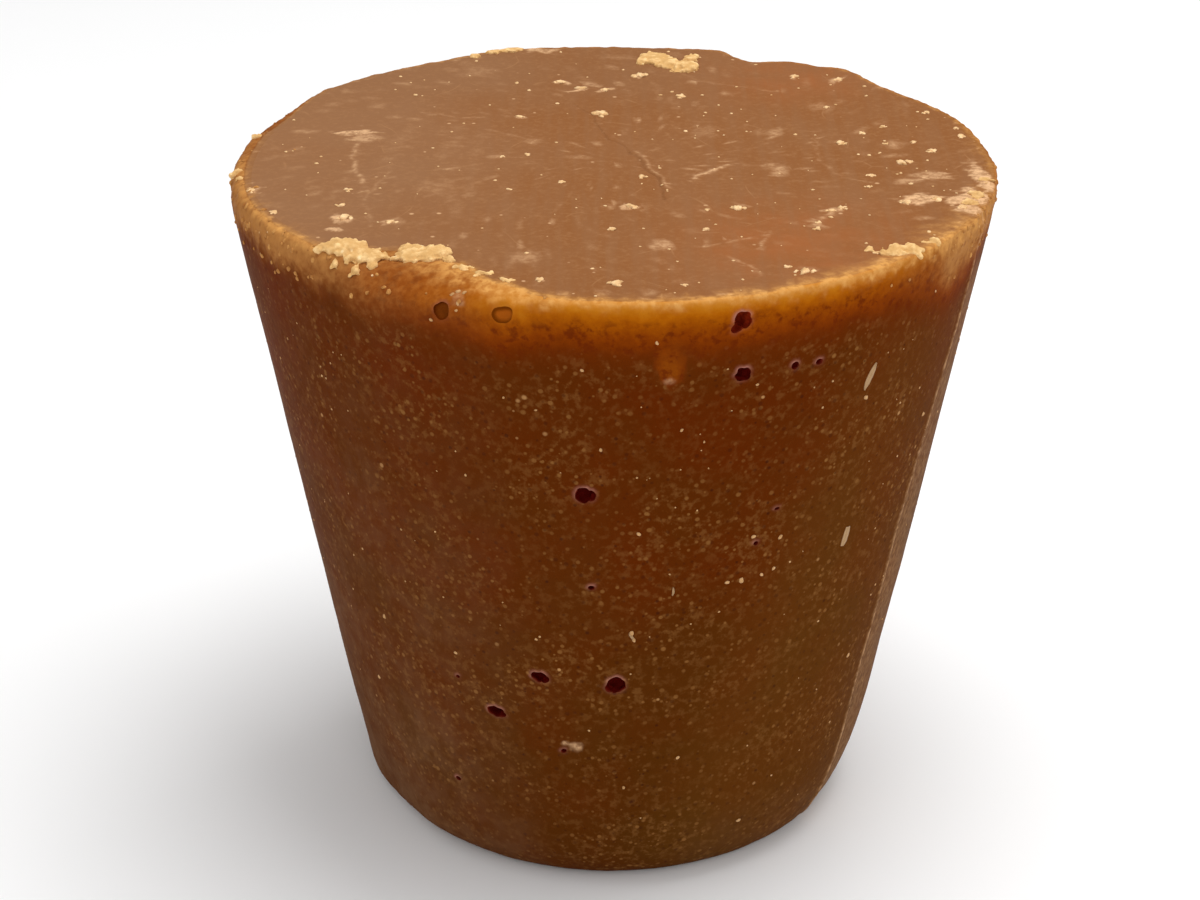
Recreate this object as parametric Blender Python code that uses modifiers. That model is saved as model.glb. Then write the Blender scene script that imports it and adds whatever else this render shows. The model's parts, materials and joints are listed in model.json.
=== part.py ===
"""A jaggery block: cane jaggery cast in a tapered bucket mould and turned out whole.

The block stands on its small end, with the wide, open end of the mould on top.
Units are metres and +Z is up. The origin is the centre of the flat base.
Azimuths are in degrees from the front, -Y, and grow towards +X.
"""

import math
from typing import NamedTuple

import bmesh
import bpy
from mathutils import Matrix, Vector

MM = 0.001

# Driving sizes of the cast body.
HEIGHT = 102.0 * MM
TOP_RADIUS = 57.5 * MM
BASE_RADIUS = 38.9 * MM  # where the straight wall would meet the floor

# The foot's rounding stands in by FOOT_INSET. It starts low on the left and high on the right.
FOOT_INSET = 4.8 * MM
FOOT_TALL = 12.7 * MM
FOOT_TALL_LEAN = 10.8 * MM

# The wall drew in between rim and foot as the block cooled, most on the right.
WALL_SAG = 0.4 * MM
WALL_SAG_LEAN = 0.4 * MM

# The mould was a little out of round: (waves round the block, depth, turn in degrees).
MOULD_WAVES = (
    (2, 0.25 * MM, 20.0),
    (3, 0.20 * MM, 75.0),
    (5, 0.12 * MM, 140.0),
)

SEGMENTS = 96
WALL_RINGS = 9
FOOT_RINGS = 10
RIM_RINGS = 6
RIM_DEPTH = 9.0 * MM  # below this the worn rim has no say
FLAT_RINGS = 3
CUTTER_DETAIL = 2


class RimSpot(NamedTuple):
    """The worn rim at one azimuth: how far its edge stands in, down and up, in millimetres."""

    azimuth: float
    inset: float
    drop: float
    lift: float


RIM = (
    RimSpot(-161, 0.3, 2.0, 0.8),
    RimSpot(-148, 0.4, 2.0, 0.2),
    RimSpot(-129, 0.3, 2.0, 0.4),
    RimSpot(-110, 1.5, 2.5, 0.0),
    RimSpot(-92, 1.7, 3.5, 0.0),
    RimSpot(-69, 2.2, 7.0, 0.0),
    RimSpot(-47, 2.2, 6.5, 0.0),
    RimSpot(-38, 9.0, 6.0, 0.0),
    RimSpot(-26, 9.3, 5.5, 0.0),
    RimSpot(-17, 5.0, 4.5, 0.0),
    RimSpot(-8, 1.5, 3.0, 0.0),
    RimSpot(12, 0.7, 2.2, 0.0),
    RimSpot(41, 0.6, 2.5, 0.2),
    RimSpot(58, 0.5, 3.0, 0.3),
    RimSpot(84, 0.8, 3.0, 0.0),
    RimSpot(112, 0.9, 2.5, 0.0),
    RimSpot(127, 2.0, 3.0, 0.0),
    RimSpot(139, 0.3, 1.5, 1.2),
    RimSpot(148, 0.5, 2.0, 0.4),
    RimSpot(156, 2.4, 3.0, 0.0),
    RimSpot(162, 0.4, 1.5, 0.4),
    RimSpot(180, 0.4, 2.0, 0.0),
)


class BlowHole(NamedTuple):
    """A gas bubble that the mould wall cut open. Width, tall and deep are in millimetres."""

    azimuth: float
    height: float
    width: float
    tall: float
    deep: float


BLOW_HOLES = (
    BlowHole(-24, 98.5, 2.4, 2.6, 2.0),
    BlowHole(-15, 99.6, 2.6, 2.2, 1.6),
    BlowHole(17, 97.4, 2.8, 4.2, 3.2),
    BlowHole(18, 90.0, 2.6, 2.4, 3.0),
    BlowHole(26, 90.0, 1.6, 1.6, 1.8),
    BlowHole(30, 89.6, 1.6, 1.4, 1.8),
    BlowHole(-4, 71.8, 3.6, 2.6, 3.4),
    BlowHole(-13, 39.1, 3.2, 2.2, 3.2),
    BlowHole(0, 38.4, 3.6, 3.2, 3.6),
    BlowHole(-22, 31.3, 3.4, 2.2, 3.2),
    BlowHole(112, 84.0, 3.2, 2.8, 3.0),
    BlowHole(134, 38.0, 3.6, 2.6, 3.2),
    BlowHole(171, 66.0, 3.0, 3.6, 3.4),
    BlowHole(-158, 90.0, 2.6, 2.4, 3.0),
    BlowHole(-133, 28.0, 3.4, 2.4, 3.2),
    BlowHole(-104, 57.0, 2.6, 3.0, 2.8),
)


def clear_scene():
    """Removes every object, so that the file holds the block alone."""
    for old in list(bpy.data.objects):
        bpy.data.objects.remove(old)


def new_collection(name):
    """Makes a collection in the scene."""
    collection = bpy.data.collections.new(name)
    bpy.context.scene.collection.children.link(collection)
    return collection


def jaggery_material():
    """Dark red-brown cast sugar with a waxy skin."""
    material = bpy.data.materials.new("jaggery")
    material.use_nodes = True
    shader = material.node_tree.nodes["Principled BSDF"]
    shader.inputs["Base Color"].default_value = (0.17, 0.052, 0.012, 1.0)
    shader.inputs["Roughness"].default_value = 0.45
    shader.inputs["Metallic"].default_value = 0.0
    return material


def wall_radius(height):
    """The radius of the mould's straight, tapered wall."""
    return BASE_RADIUS + (TOP_RADIUS - BASE_RADIUS) * height / HEIGHT


def rim_at(azimuth):
    """The inset, drop and lift of the rim at an azimuth, in metres, eased between the spots of RIM."""
    after = next((i for i, spot in enumerate(RIM) if spot.azimuth > azimuth), 0)
    low, high = RIM[after - 1], RIM[after]
    gap = (high.azimuth - low.azimuth) % 360.0
    share = ((azimuth - low.azimuth) % 360.0) / gap
    ease = share * share * (3.0 - 2.0 * share)
    return [MM * (a + (b - a) * ease) for a, b in zip(low[1:], high[1:])]


def rounding_loss(depth, reach):
    """The share of its inset that a rounding takes: 0 where it starts, rising to 1 at its reach."""
    share = min(max(depth / reach, 0.0), 1.0)
    return 1.0 - math.sqrt(1.0 - share * share)


def body_radius(height, azimuth):
    """The distance from the axis to the block's skin."""
    angle = math.radians(azimuth)
    radius = wall_radius(height)
    radius += sum(deep * math.sin(n * angle + math.radians(turn)) for n, deep, turn in MOULD_WAVES)
    lean = math.sin(angle)
    radius -= (WALL_SAG + WALL_SAG_LEAN * lean) * math.sin(math.pi * height / HEIGHT)
    foot_tall = FOOT_TALL + FOOT_TALL_LEAN * lean
    radius -= FOOT_INSET * rounding_loss(foot_tall - height, foot_tall)
    inset, drop, _ = rim_at(azimuth)
    radius -= inset * rounding_loss(height - (HEIGHT - drop), drop)
    return radius


def eased(count):
    """Steps from 0 to 1 that crowd towards 0, as the points of a quarter circle do."""
    return [1.0 - math.cos(math.pi / 2.0 * k / count) for k in range(count + 1)]


def ring_heights():
    """The heights of the wall's rings, from the rim down to the floor."""
    foot_top = FOOT_TALL + FOOT_TALL_LEAN
    rim = [HEIGHT - RIM_DEPTH * share for share in eased(RIM_RINGS)]
    foot = [foot_top * share for share in reversed(eased(FOOT_RINGS))]
    step = (rim[-1] - foot[0]) / WALL_RINGS
    wall = [rim[-1] - step * k for k in range(1, WALL_RINGS)]
    return rim + wall + foot


def profile_points():
    """The (radius, height) outline from the middle of the top, down the wall, to the middle of the base."""
    shares = [k / FLAT_RINGS for k in range(FLAT_RINGS)]
    top = [(TOP_RADIUS * share, HEIGHT) for share in shares]
    wall = [(wall_radius(height), height) for height in ring_heights()]
    base = [(BASE_RADIUS * share, 0.0) for share in reversed(shares)]
    return top + wall + base


def turned_body(name, collection):
    """Turns the profile round the Z axis with a Screw modifier and returns the evaluated mesh's object."""
    outline = bpy.data.meshes.new(name + "_outline")
    points = [(radius, 0.0, height) for radius, height in profile_points()]
    edges = [(k, k + 1) for k in range(len(points) - 1)]
    outline.from_pydata(points, edges, [])
    turned = bpy.data.objects.new(name + "_outline", outline)
    collection.objects.link(turned)
    screw = turned.modifiers.new("turn", "SCREW")
    screw.axis = "Z"
    screw.angle = math.tau
    screw.steps = SEGMENTS
    screw.render_steps = SEGMENTS
    screw.use_merge_vertices = True
    screw.merge_threshold = 0.00001
    depsgraph = bpy.context.evaluated_depsgraph_get()
    mesh = bpy.data.meshes.new_from_object(turned.evaluated_get(depsgraph))
    bpy.data.objects.remove(turned)
    mesh.name = name
    body = bpy.data.objects.new(name, mesh)
    collection.objects.link(body)
    return body


def shape_body(body):
    """Moves each vertex from the turned shape to the block's skin, with its worn rim and rounded foot."""
    for vertex in body.data.vertices:
        x, y, height = vertex.co
        azimuth = math.degrees(math.atan2(x, -y))
        share = math.hypot(x, y) / wall_radius(height)
        _, _, lift = rim_at(azimuth)
        near_rim = max(0.0, 1.0 - (HEIGHT - height) / RIM_DEPTH) * share**6
        radius = share * body_radius(height, azimuth)
        angle = math.radians(azimuth)
        vertex.co = (radius * math.sin(angle), -radius * math.cos(angle), height + lift * near_rim)


def centre_body(body):
    """Puts the middle of the block's outline over the origin, and returns the shift."""
    xs = [vertex.co.x for vertex in body.data.vertices]
    ys = [vertex.co.y for vertex in body.data.vertices]
    shift = Vector((-(min(xs) + max(xs)) / 2.0, -(min(ys) + max(ys)) / 2.0, 0.0))
    body.data.transform(Matrix.Translation(shift))
    return shift


def hole_cutter(index, hole, shift, collection):
    """A flattened ball that opens one blow hole in the wall."""
    angle = math.radians(hole.azimuth)
    height = hole.height * MM
    outward = Vector((math.sin(angle), -math.cos(angle), 0.0))
    centre = outward * body_radius(height, hole.azimuth) + Vector((0.0, 0.0, height)) + shift
    size = Matrix.Diagonal((hole.width / 2.0 * MM, hole.deep * MM, hole.tall / 2.0 * MM, 1.0))
    shape = bmesh.new()
    bmesh.ops.create_icosphere(shape, subdivisions=CUTTER_DETAIL, radius=1.0, matrix=size)
    mesh = bpy.data.meshes.new(f"blow_hole_{index:02d}")
    shape.to_mesh(mesh)
    shape.free()
    cutter = bpy.data.objects.new(mesh.name, mesh)
    cutter.location = centre
    cutter.rotation_euler = (0.0, 0.0, angle)
    cutter.hide_render = True
    cutter.display_type = "WIRE"
    collection.objects.link(cutter)


def open_blow_holes(body, shift):
    """Cuts the blow holes into the block."""
    cutters = new_collection("blow_hole_cutters")
    for index, hole in enumerate(BLOW_HOLES):
        hole_cutter(index, hole, shift, cutters)
    cut = body.modifiers.new("blow_holes", "BOOLEAN")
    cut.operation = "DIFFERENCE"
    cut.solver = "EXACT"
    cut.operand_type = "COLLECTION"
    cut.collection = cutters


def build_block():
    """Builds the block in a collection of its own."""
    collection = new_collection("jaggery_block_parts")
    body = turned_body("jaggery_block", collection)
    shape_body(body)
    shift = centre_body(body)
    body.data.materials.append(jaggery_material())
    body.data.shade_smooth()
    body.data.set_sharp_from_angle(angle=math.radians(35.0))
    open_blow_holes(body, shift)
    return body


clear_scene()
build_block()
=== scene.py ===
"""The looks of a jaggery block: cane sugar cast in a tapered bucket mould and turned out whole.

The block stands on its small end. Its skin stands for the plain solid, with the worn rim, the dry top, open
blow holes, the mould's seam and fine grain. Crumbs of dry sugar lie on the rim and the top, and bits of cane
husk are caught in the wall.

Shapes are worked out in millimetres about the mould's axis, +Z up. Azimuths are in degrees from the
front, -Y, and grow towards +X. Finished meshes are in metres, in the frame of the solids.
"""

import json
import logging
import math
import random
from collections.abc import Sequence
from dataclasses import dataclass, field
from enum import Enum

import bmesh
import bpy
import numpy as np
from mathutils import Matrix, Vector, noise
from mathutils.bvhtree import BVHTree
from mathutils.kdtree import KDTree

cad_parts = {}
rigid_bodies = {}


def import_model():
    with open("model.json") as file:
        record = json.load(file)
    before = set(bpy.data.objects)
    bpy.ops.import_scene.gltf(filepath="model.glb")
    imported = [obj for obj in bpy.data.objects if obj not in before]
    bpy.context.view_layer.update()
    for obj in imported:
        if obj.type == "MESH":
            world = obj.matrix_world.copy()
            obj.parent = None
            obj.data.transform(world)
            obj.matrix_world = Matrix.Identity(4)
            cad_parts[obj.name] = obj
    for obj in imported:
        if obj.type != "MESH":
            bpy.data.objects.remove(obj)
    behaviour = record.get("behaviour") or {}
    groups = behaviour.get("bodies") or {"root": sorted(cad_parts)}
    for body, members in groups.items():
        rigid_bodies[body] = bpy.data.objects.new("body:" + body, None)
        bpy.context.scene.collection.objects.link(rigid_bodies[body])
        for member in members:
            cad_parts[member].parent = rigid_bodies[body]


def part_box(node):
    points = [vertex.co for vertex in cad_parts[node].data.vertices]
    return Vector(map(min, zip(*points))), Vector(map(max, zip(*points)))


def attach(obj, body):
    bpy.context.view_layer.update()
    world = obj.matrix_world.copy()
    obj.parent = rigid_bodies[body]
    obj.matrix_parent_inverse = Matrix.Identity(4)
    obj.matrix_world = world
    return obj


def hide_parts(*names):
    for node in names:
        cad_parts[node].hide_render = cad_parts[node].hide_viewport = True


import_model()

Array = np.ndarray
Colour = tuple[float, float, float]
Point = tuple[float, float, float]
Socket = bpy.types.NodeSocket
Spot = tuple[Vector, Vector]  # a place on the skin, and the way it faces there

MM = 0.001
BODY = "root"
NODE = "jaggery_block"
UP = Vector((0.0, 0.0, 1.0))
WALL_SLOT, TOP_SLOT, HOLE_SLOT = 0, 1, 2
log = logging.getLogger("jaggery_block")


# ---------------------------------------------------------------- fields over points


def ease(low: float, high: float, value: Array) -> Array:
    """Rises smoothly from 0 at low to 1 at high."""
    share = np.clip((value - low) / (high - low), 0.0, 1.0)
    return share * share * (3.0 - 2.0 * share)


def bell(distance: Array, width: float | Array) -> Array:
    """Falls from 1 at no distance towards 0 past the width."""
    return np.exp(-((distance / width) ** 2))


def turn_past(azimuth: Array, start: float | Array) -> Array:
    """How far an azimuth lies past a start, from -180 to 180 degrees."""
    return (azimuth - start + 180.0) % 360.0 - 180.0


def cloud(points: Array, size: float, seed: float, octaves: int = 2) -> Array:
    """Smooth noise from about -1 to 1.

    Args:
        points: Places, one row each.
        size: The breadth of its lumps.
        seed: Another number gives another pattern.
        octaves: How many finer layers it has.

    Returns:
        One value for each point.
    """
    shift = Vector((7.3, -3.1, 5.7)) * (seed + 1.0)
    return np.array([noise.fractal(Vector(point) / size + shift, 1.0, 2.0, octaves) for point in points])


def waves(points: Array, layers: Sequence[tuple[float, float, float]]) -> Array:
    """The sum of layers of noise, each a size, a depth and a seed."""
    return sum(deep * cloud(points, size, seed) for size, deep, seed in layers)


def grains(points: Array, size: float, seed: float) -> Array:
    """Rounded grains packed side by side: 1 at the middle of each and 0 between them.

    Args:
        points: Places, one row each.
        size: The breadth of a grain.
        seed: Another number gives another pattern.

    Returns:
        One value for each point.
    """
    shift = Vector((3.7, 9.1, -4.3)) * (seed + 1.0)
    nearest = np.array([noise.voronoi(Vector(point) / size + shift)[0][0] for point in points])
    return np.clip(1.0 - 1.5 * nearest, 0.0, 1.0)


def round_the_block(spots: Sequence[Sequence[float]], azimuth: Array) -> Array:
    """Eases between values that are given at azimuths round the block.

    Args:
        spots: Rows of an azimuth and its values, in order of azimuth.
        azimuth: Where the values are wanted.

    Returns:
        One row of values for each azimuth.
    """
    table = np.array(spots, float)
    high = np.searchsorted(table[:, 0], azimuth, side="right") % len(table)
    low = high - 1
    gap = (table[high, 0] - table[low, 0]) % 360.0
    share = ((azimuth - table[low, 0]) % 360.0) / gap
    smooth = (share * share * (3.0 - 2.0 * share))[:, None]
    return table[low, 1:] + (table[high, 1:] - table[low, 1:]) * smooth


def swayed(points: Array, size: float, amount: float) -> Array:
    """Flat places nudged about, so that what is drawn by them has uneven outlines."""
    return points[:, :2] + amount * np.stack([cloud(points, size, seed, 3) for seed in (50.0, 51.0)], axis=1)


# ---------------------------------------------------------------- the form of the block


@dataclass(frozen=True)
class MouldForm:
    """The block's main form, in millimetres.

    The rim's rows are azimuth, inset, drop and lift. The foot's worn flats are azimuth, breadth, inset and
    height.
    """

    height: float = 102.0
    top_radius: float = 57.5
    base_radius: float = 38.9
    foot_inset: float = 4.8
    foot_tall: float = 12.7
    foot_tall_lean: float = 10.8
    wall_sag: float = 0.12
    wall_sag_lean: float = 0.12
    rim_depth: float = 9.0
    mould_waves: tuple[tuple[int, float, float], ...] = ((2, 0.25, 20.0), (3, 0.20, 75.0), (5, 0.12, 140.0))
    rim: tuple[tuple[float, float, float, float], ...] = (
        (-161, 0.3, 2.0, 1.1), (-148, 0.4, 2.0, 0.5), (-129, 0.3, 2.0, 0.4), (-110, 2.6, 2.5, 0.0),
        (-92, 2.9, 3.5, 0.0), (-69, 2.2, 7.0, 0.0), (-47, 2.2, 6.5, 0.0), (-38, 9.0, 6.0, 0.0),
        (-26, 9.3, 5.5, 0.0), (-17, 5.0, 4.5, 0.0), (-8, 1.5, 3.0, 0.0), (12, 0.7, 2.2, 0.0),
        (41, 0.6, 2.5, 0.2), (58, 0.5, 3.0, 0.3), (84, 0.8, 3.0, 0.0), (112, 0.9, 2.5, 0.6),
        (127, 2.0, 3.0, 0.6), (139, 0.3, 1.5, 1.2), (148, 0.5, 2.0, 0.8), (156, 2.4, 3.0, 0.5),
        (162, 0.4, 1.5, 1.1), (180, 0.4, 2.0, 0.8),
    )
    foot_flats: tuple[tuple[float, float, float, float], ...] = ((-64, 16.0, 1.2, 0.0), (68, 14.0, 0.7, 24.0))
    flats_tall: float = 12.0

    def wall_radius(self, height: Array) -> Array:
        """The radius of the mould's straight, tapered wall."""
        return self.base_radius + (self.top_radius - self.base_radius) * height / self.height

    @staticmethod
    def rounding_loss(depth: Array, reach: Array) -> Array:
        """The share of its inset that a rounding takes: 0 where it starts, rising to 1 at its reach."""
        share = np.clip(depth / reach, 0.0, 1.0)
        return 1.0 - np.sqrt(1.0 - share * share)

    def body_radius(self, height: Array, azimuth: Array) -> Array:
        """The distance from the axis to the block's skin.

        Args:
            height: How high each place is.
            azimuth: Where it is round the block.

        Returns:
            One radius for each place.
        """
        angle = np.radians(azimuth)
        radius = self.wall_radius(height)
        for count, deep, turn in self.mould_waves:
            radius = radius + deep * np.sin(count * angle + math.radians(turn))
        lean = np.sin(angle)
        radius -= (self.wall_sag + self.wall_sag_lean * lean) * np.sin(math.pi * height / self.height)
        foot_tall = self.foot_tall + self.foot_tall_lean * lean
        radius -= self.foot_inset * self.rounding_loss(foot_tall - height, foot_tall)
        for middle, breadth, inset, level in self.foot_flats:
            worn = inset * bell(turn_past(azimuth, middle), breadth)
            radius -= worn * bell(height - level, self.flats_tall)
        inset, drop, _ = round_the_block(self.rim, azimuth).T
        return radius - inset * self.rounding_loss(height - (self.height - drop), drop)

    def shaped(self, template: Array) -> Array:
        """Moves points from the plain turned shape to the block's skin.

        Args:
            template: Points on the turned shape.

        Returns:
            The same points on the skin.
        """
        x, y, height = template.T
        azimuth = np.degrees(np.arctan2(x, -y))
        share = np.minimum(np.hypot(x, y) / self.wall_radius(height), 1.0)
        flat = (height > self.height - 1e-4) | (height < 1e-4)
        share = np.where(flat, share, 1.0)
        lift = round_the_block(self.rim, azimuth)[:, 2]
        near_rim = np.clip(1.0 - (self.height - height) / self.rim_depth, 0.0, 1.0) * share**6
        radius = share * self.body_radius(height, azimuth)
        angle = np.radians(azimuth)
        return np.stack([radius * np.sin(angle), -radius * np.cos(angle), height + lift * near_rim], axis=1)


@dataclass(frozen=True)
class Sites:
    """Where points lie on the block, in the terms that its features are placed by."""

    points: Array
    azimuth: Array
    height: Array
    radius: Array
    depth: Array  # down the wall from the rim
    inward: Array  # in from the top's edge
    top: Array  # 1 on the top, 0 on the wall

    @classmethod
    def on(cls, form: MouldForm, points: Array, upward: Array | float = 1.0) -> "Sites":
        """Reads the sites of points on or near the skin.

        Args:
            form: The block's form.
            points: Places, one row each.
            upward: How far up the skin faces there.

        Returns:
            Their sites.
        """
        azimuth = np.degrees(np.arctan2(points[:, 0], -points[:, 1]))
        radius = np.hypot(points[:, 0], points[:, 1])
        inward = form.body_radius(np.full(len(points), form.height), azimuth) - radius
        depth = form.height - points[:, 2]
        top = ease(-0.05, 0.35, inward) * (1.0 - ease(0.5, 1.0, depth)) * ease(0.45, 0.8, upward)
        return cls(points, azimuth, points[:, 2], radius, np.maximum(depth, 0.0), inward, top)

    def from_spot(self, azimuth: float, height: float) -> tuple[Array, Array]:
        """How far across and up the wall the points lie from a spot on it."""
        return np.radians(turn_past(self.azimuth, azimuth)) * self.radius, self.height - height

    def away(self, azimuth: float, height: float, wide: float = 1.0, tall: float = 1.0) -> Array:
        """The distance to a spot on the wall, as a share of half a breadth and half a height."""
        across, up = self.from_spot(azimuth, height)
        return np.hypot(across / wide, up / tall)

    def wall(self) -> Array:
        """1 on the wall, 0 on the top and on the base."""
        return (1.0 - self.top) * (self.height > 0.2)


# ---------------------------------------------------------------- features of the skin


@dataclass(frozen=True)
class BlowHole:
    """A gas bubble that the wall cut open.

    A side bubble runs into it along its slant, by a share of its width. Glow is how much light its thin wall
    passes; that light is painted into the colour of its inside.
    """

    azimuth: float
    height: float
    width: float
    tall: float
    deep: float
    slant: float = 0.0
    side_bubble: float = 0.0
    glow: float = 0.0

    def bubbles(self) -> list[tuple[float, float, float]]:
        """How far across and up each of its bubbles is, and the bubble's share of its size."""
        away, slant = self.side_bubble * self.width / 2.0, math.radians(self.slant)
        beside = [(away * math.cos(slant), away * math.sin(slant), 0.66)] if away else []
        return [(0.0, 0.0, 1.0), *beside]


BLOW_HOLES = [BlowHole(*row) for row in (
    (-24.2, 98.6, 2.4, 2.5, 1.1, 0, 0, 0.4), (-15.2, 99.5, 3.2, 2.7, 0.6, 0, 0, 1.0),
    (17.2, 98.5, 2.5, 2.7, 2.0, 236, 1.05), (18.0, 90.0, 2.4, 2.2, 2.0, 20, 0.3),
    (26.0, 90.0, 1.1, 1.3, 0.9, 60, 0.6), (30.0, 89.8, 1.1, 1.0, 0.9), (-4.6, 71.7, 2.5, 2.6, 2.3, 2, 0.75),
    (-13.4, 39.4, 2.4, 1.9, 2.2, -25, 0.7), (0.4, 38.8, 2.6, 3.1, 2.4, 205, 0.6),
    (-22.8, 31.5, 2.5, 1.9, 2.2, -12, 0.75), (-3.8, 56.0, 1.0, 0.8, 1.0), (-34.3, 16.0, 1.0, 0.8, 1.0),
    (23.3, 61.4, 0.8, 0.7, 0.8), (26.4, 66.7, 0.9, 0.5, 0.8), (-9.6, 26.0, 0.9, 0.7, 0.9),
    (-30.2, 36.2, 0.7, 0.6, 0.7), (112.0, 84.0, 3.0, 2.6, 2.0, 30, 0.5), (121.0, 79.5, 1.2, 1.1, 1.1),
    (134.0, 38.0, 2.6, 2.4, 2.2, 10, 0.75), (150.0, 52.0, 1.1, 0.9, 1.0),
    (171.0, 66.0, 2.6, 3.2, 2.3, 260, 0.5), (-170.0, 27.0, 1.4, 1.1, 1.2),
    (-158.0, 90.0, 2.4, 2.2, 2.0, 15, 0.4), (-149.0, 88.5, 1.3, 1.2, 1.2),
    (-133.0, 28.0, 2.6, 2.1, 2.2, -15, 0.7), (-104.0, 57.0, 2.4, 2.6, 1.9, 40, 0.45),
    (-92.0, 22.0, 1.1, 0.9, 1.0), (88.0, 46.0, 1.3, 1.0, 1.1),
)]


@dataclass(frozen=True)
class TopLine:
    """A crack, ridge or scratch on the top. Relief is its height, below 0 for a groove."""

    width: float
    relief: float
    pale: float
    dark: float
    route: tuple[tuple[float, float], ...]

    def near(self, flat: Array) -> Array:
        """1 on the line, falling to 0 past its width."""
        return bell(self.distance(flat), self.width)

    def distance(self, flat: Array) -> Array:
        """The distance from flat points to the nearest stretch of the line.

        Args:
            flat: Places over the top, one row each.

        Returns:
            One distance for each point.
        """
        nearest = np.full(len(flat), np.inf)
        for start, end in zip(self.route, self.route[1:]):
            base, run = np.array(start), np.array(end) - np.array(start)
            share = np.clip(((flat - base) @ run) / (run @ run), 0.0, 1.0)
            nearest = np.minimum(nearest, np.linalg.norm(flat - base - share[:, None] * run, axis=1))
        return nearest


TOP_LINES = [TopLine(*row) for row in (
    (0.22, -0.10, 0.0, 0.16, ((-6, 28), (-3, 22), (-2, 15), (-0.8, 10.5), (1.5, 7.5), (2.6, 4.5))),
    (0.24, -0.14, 0.0, 0.24, ((2.6, 4.5), (3.8, 2), (4.5, -3), (6.5, -7), (7.2, -12), (7, -17))),
    (0.3, 0.12, 0.4, 0.0, ((3.3, 4.6), (4.5, 2), (5.2, -3), (7.2, -7.2), (7.9, -12))),
    (0.4, 0.10, 0.5, 0.0, ((-38.6, 8), (-39, 2), (-38.2, -3), (-36.9, -8), (-36.6, -10))),
    (0.45, 0.14, 1.0, 0.0, ((11.4, -8.8), (12.6, -6.4), (14.4, -4.6), (16.9, -1.8))),
    (0.9, 0.0, 0.13, 0.0, ((-24, 16), (-25, 2), (-24, -12), (-22, -24))),
    (0.8, 0.0, 0.12, 0.0, ((-20, 12), (-21.5, 0), (-20.5, -15))),
    (0.9, 0.0, 0.08, 0.0, ((-30, 20), (-33, 8), (-33.5, -6))),
    (0.5, 0.10, 0.5, 0.0, ((28.8, -26.5), (31, -22.5), (33.2, -20.4))),
    (0.3, 0.05, 0.4, 0.0, ((12.6, -36.5), (17.5, -33.4), (21, -31.6), (20.2, -36))),
    (0.28, -0.05, 0.35, 0.0, ((15.5, -40.5), (18.5, -43.5), (20, -47))),
    (0.3, -0.05, 0.25, 0.0, ((-30, 24), (-24, 21), (-20, 21.5))),
    (0.3, -0.04, 0.18, 0.0, ((-33, -4), (-36, -17), (-34, -28))),
    (0.3, -0.05, 0.2, 0.0, ((31, 10), (30.5, 1), (33.5, -7), (37.5, -10))),
    (0.35, -0.06, 0.15, 0.0, ((8, 49), (14, 40), (26, 34))),
)]


@dataclass(frozen=True)
class Smear:
    """A patch of dry sugar pressed into the top: its place, size, turn, paleness and thickness."""

    x: float
    y: float
    wide: float
    long: float
    turn: float
    pale: float
    thick: float = 0.06

    def cover(self, flat: Array) -> Array:
        """How much of it covers each point: 1 at its middle, with a ragged edge.

        Args:
            flat: Places over the top, one row each.

        Returns:
            One share for each point.
        """
        angle = math.radians(self.turn)
        x, y = flat[:, 0] - self.x, flat[:, 1] - self.y
        along = (x * math.cos(angle) + y * math.sin(angle)) / (self.wide / 2.0)
        aside = (y * math.cos(angle) - x * math.sin(angle)) / (self.long / 2.0)
        return 1.0 - ease(0.5, 1.3, np.hypot(along, aside))


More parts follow.
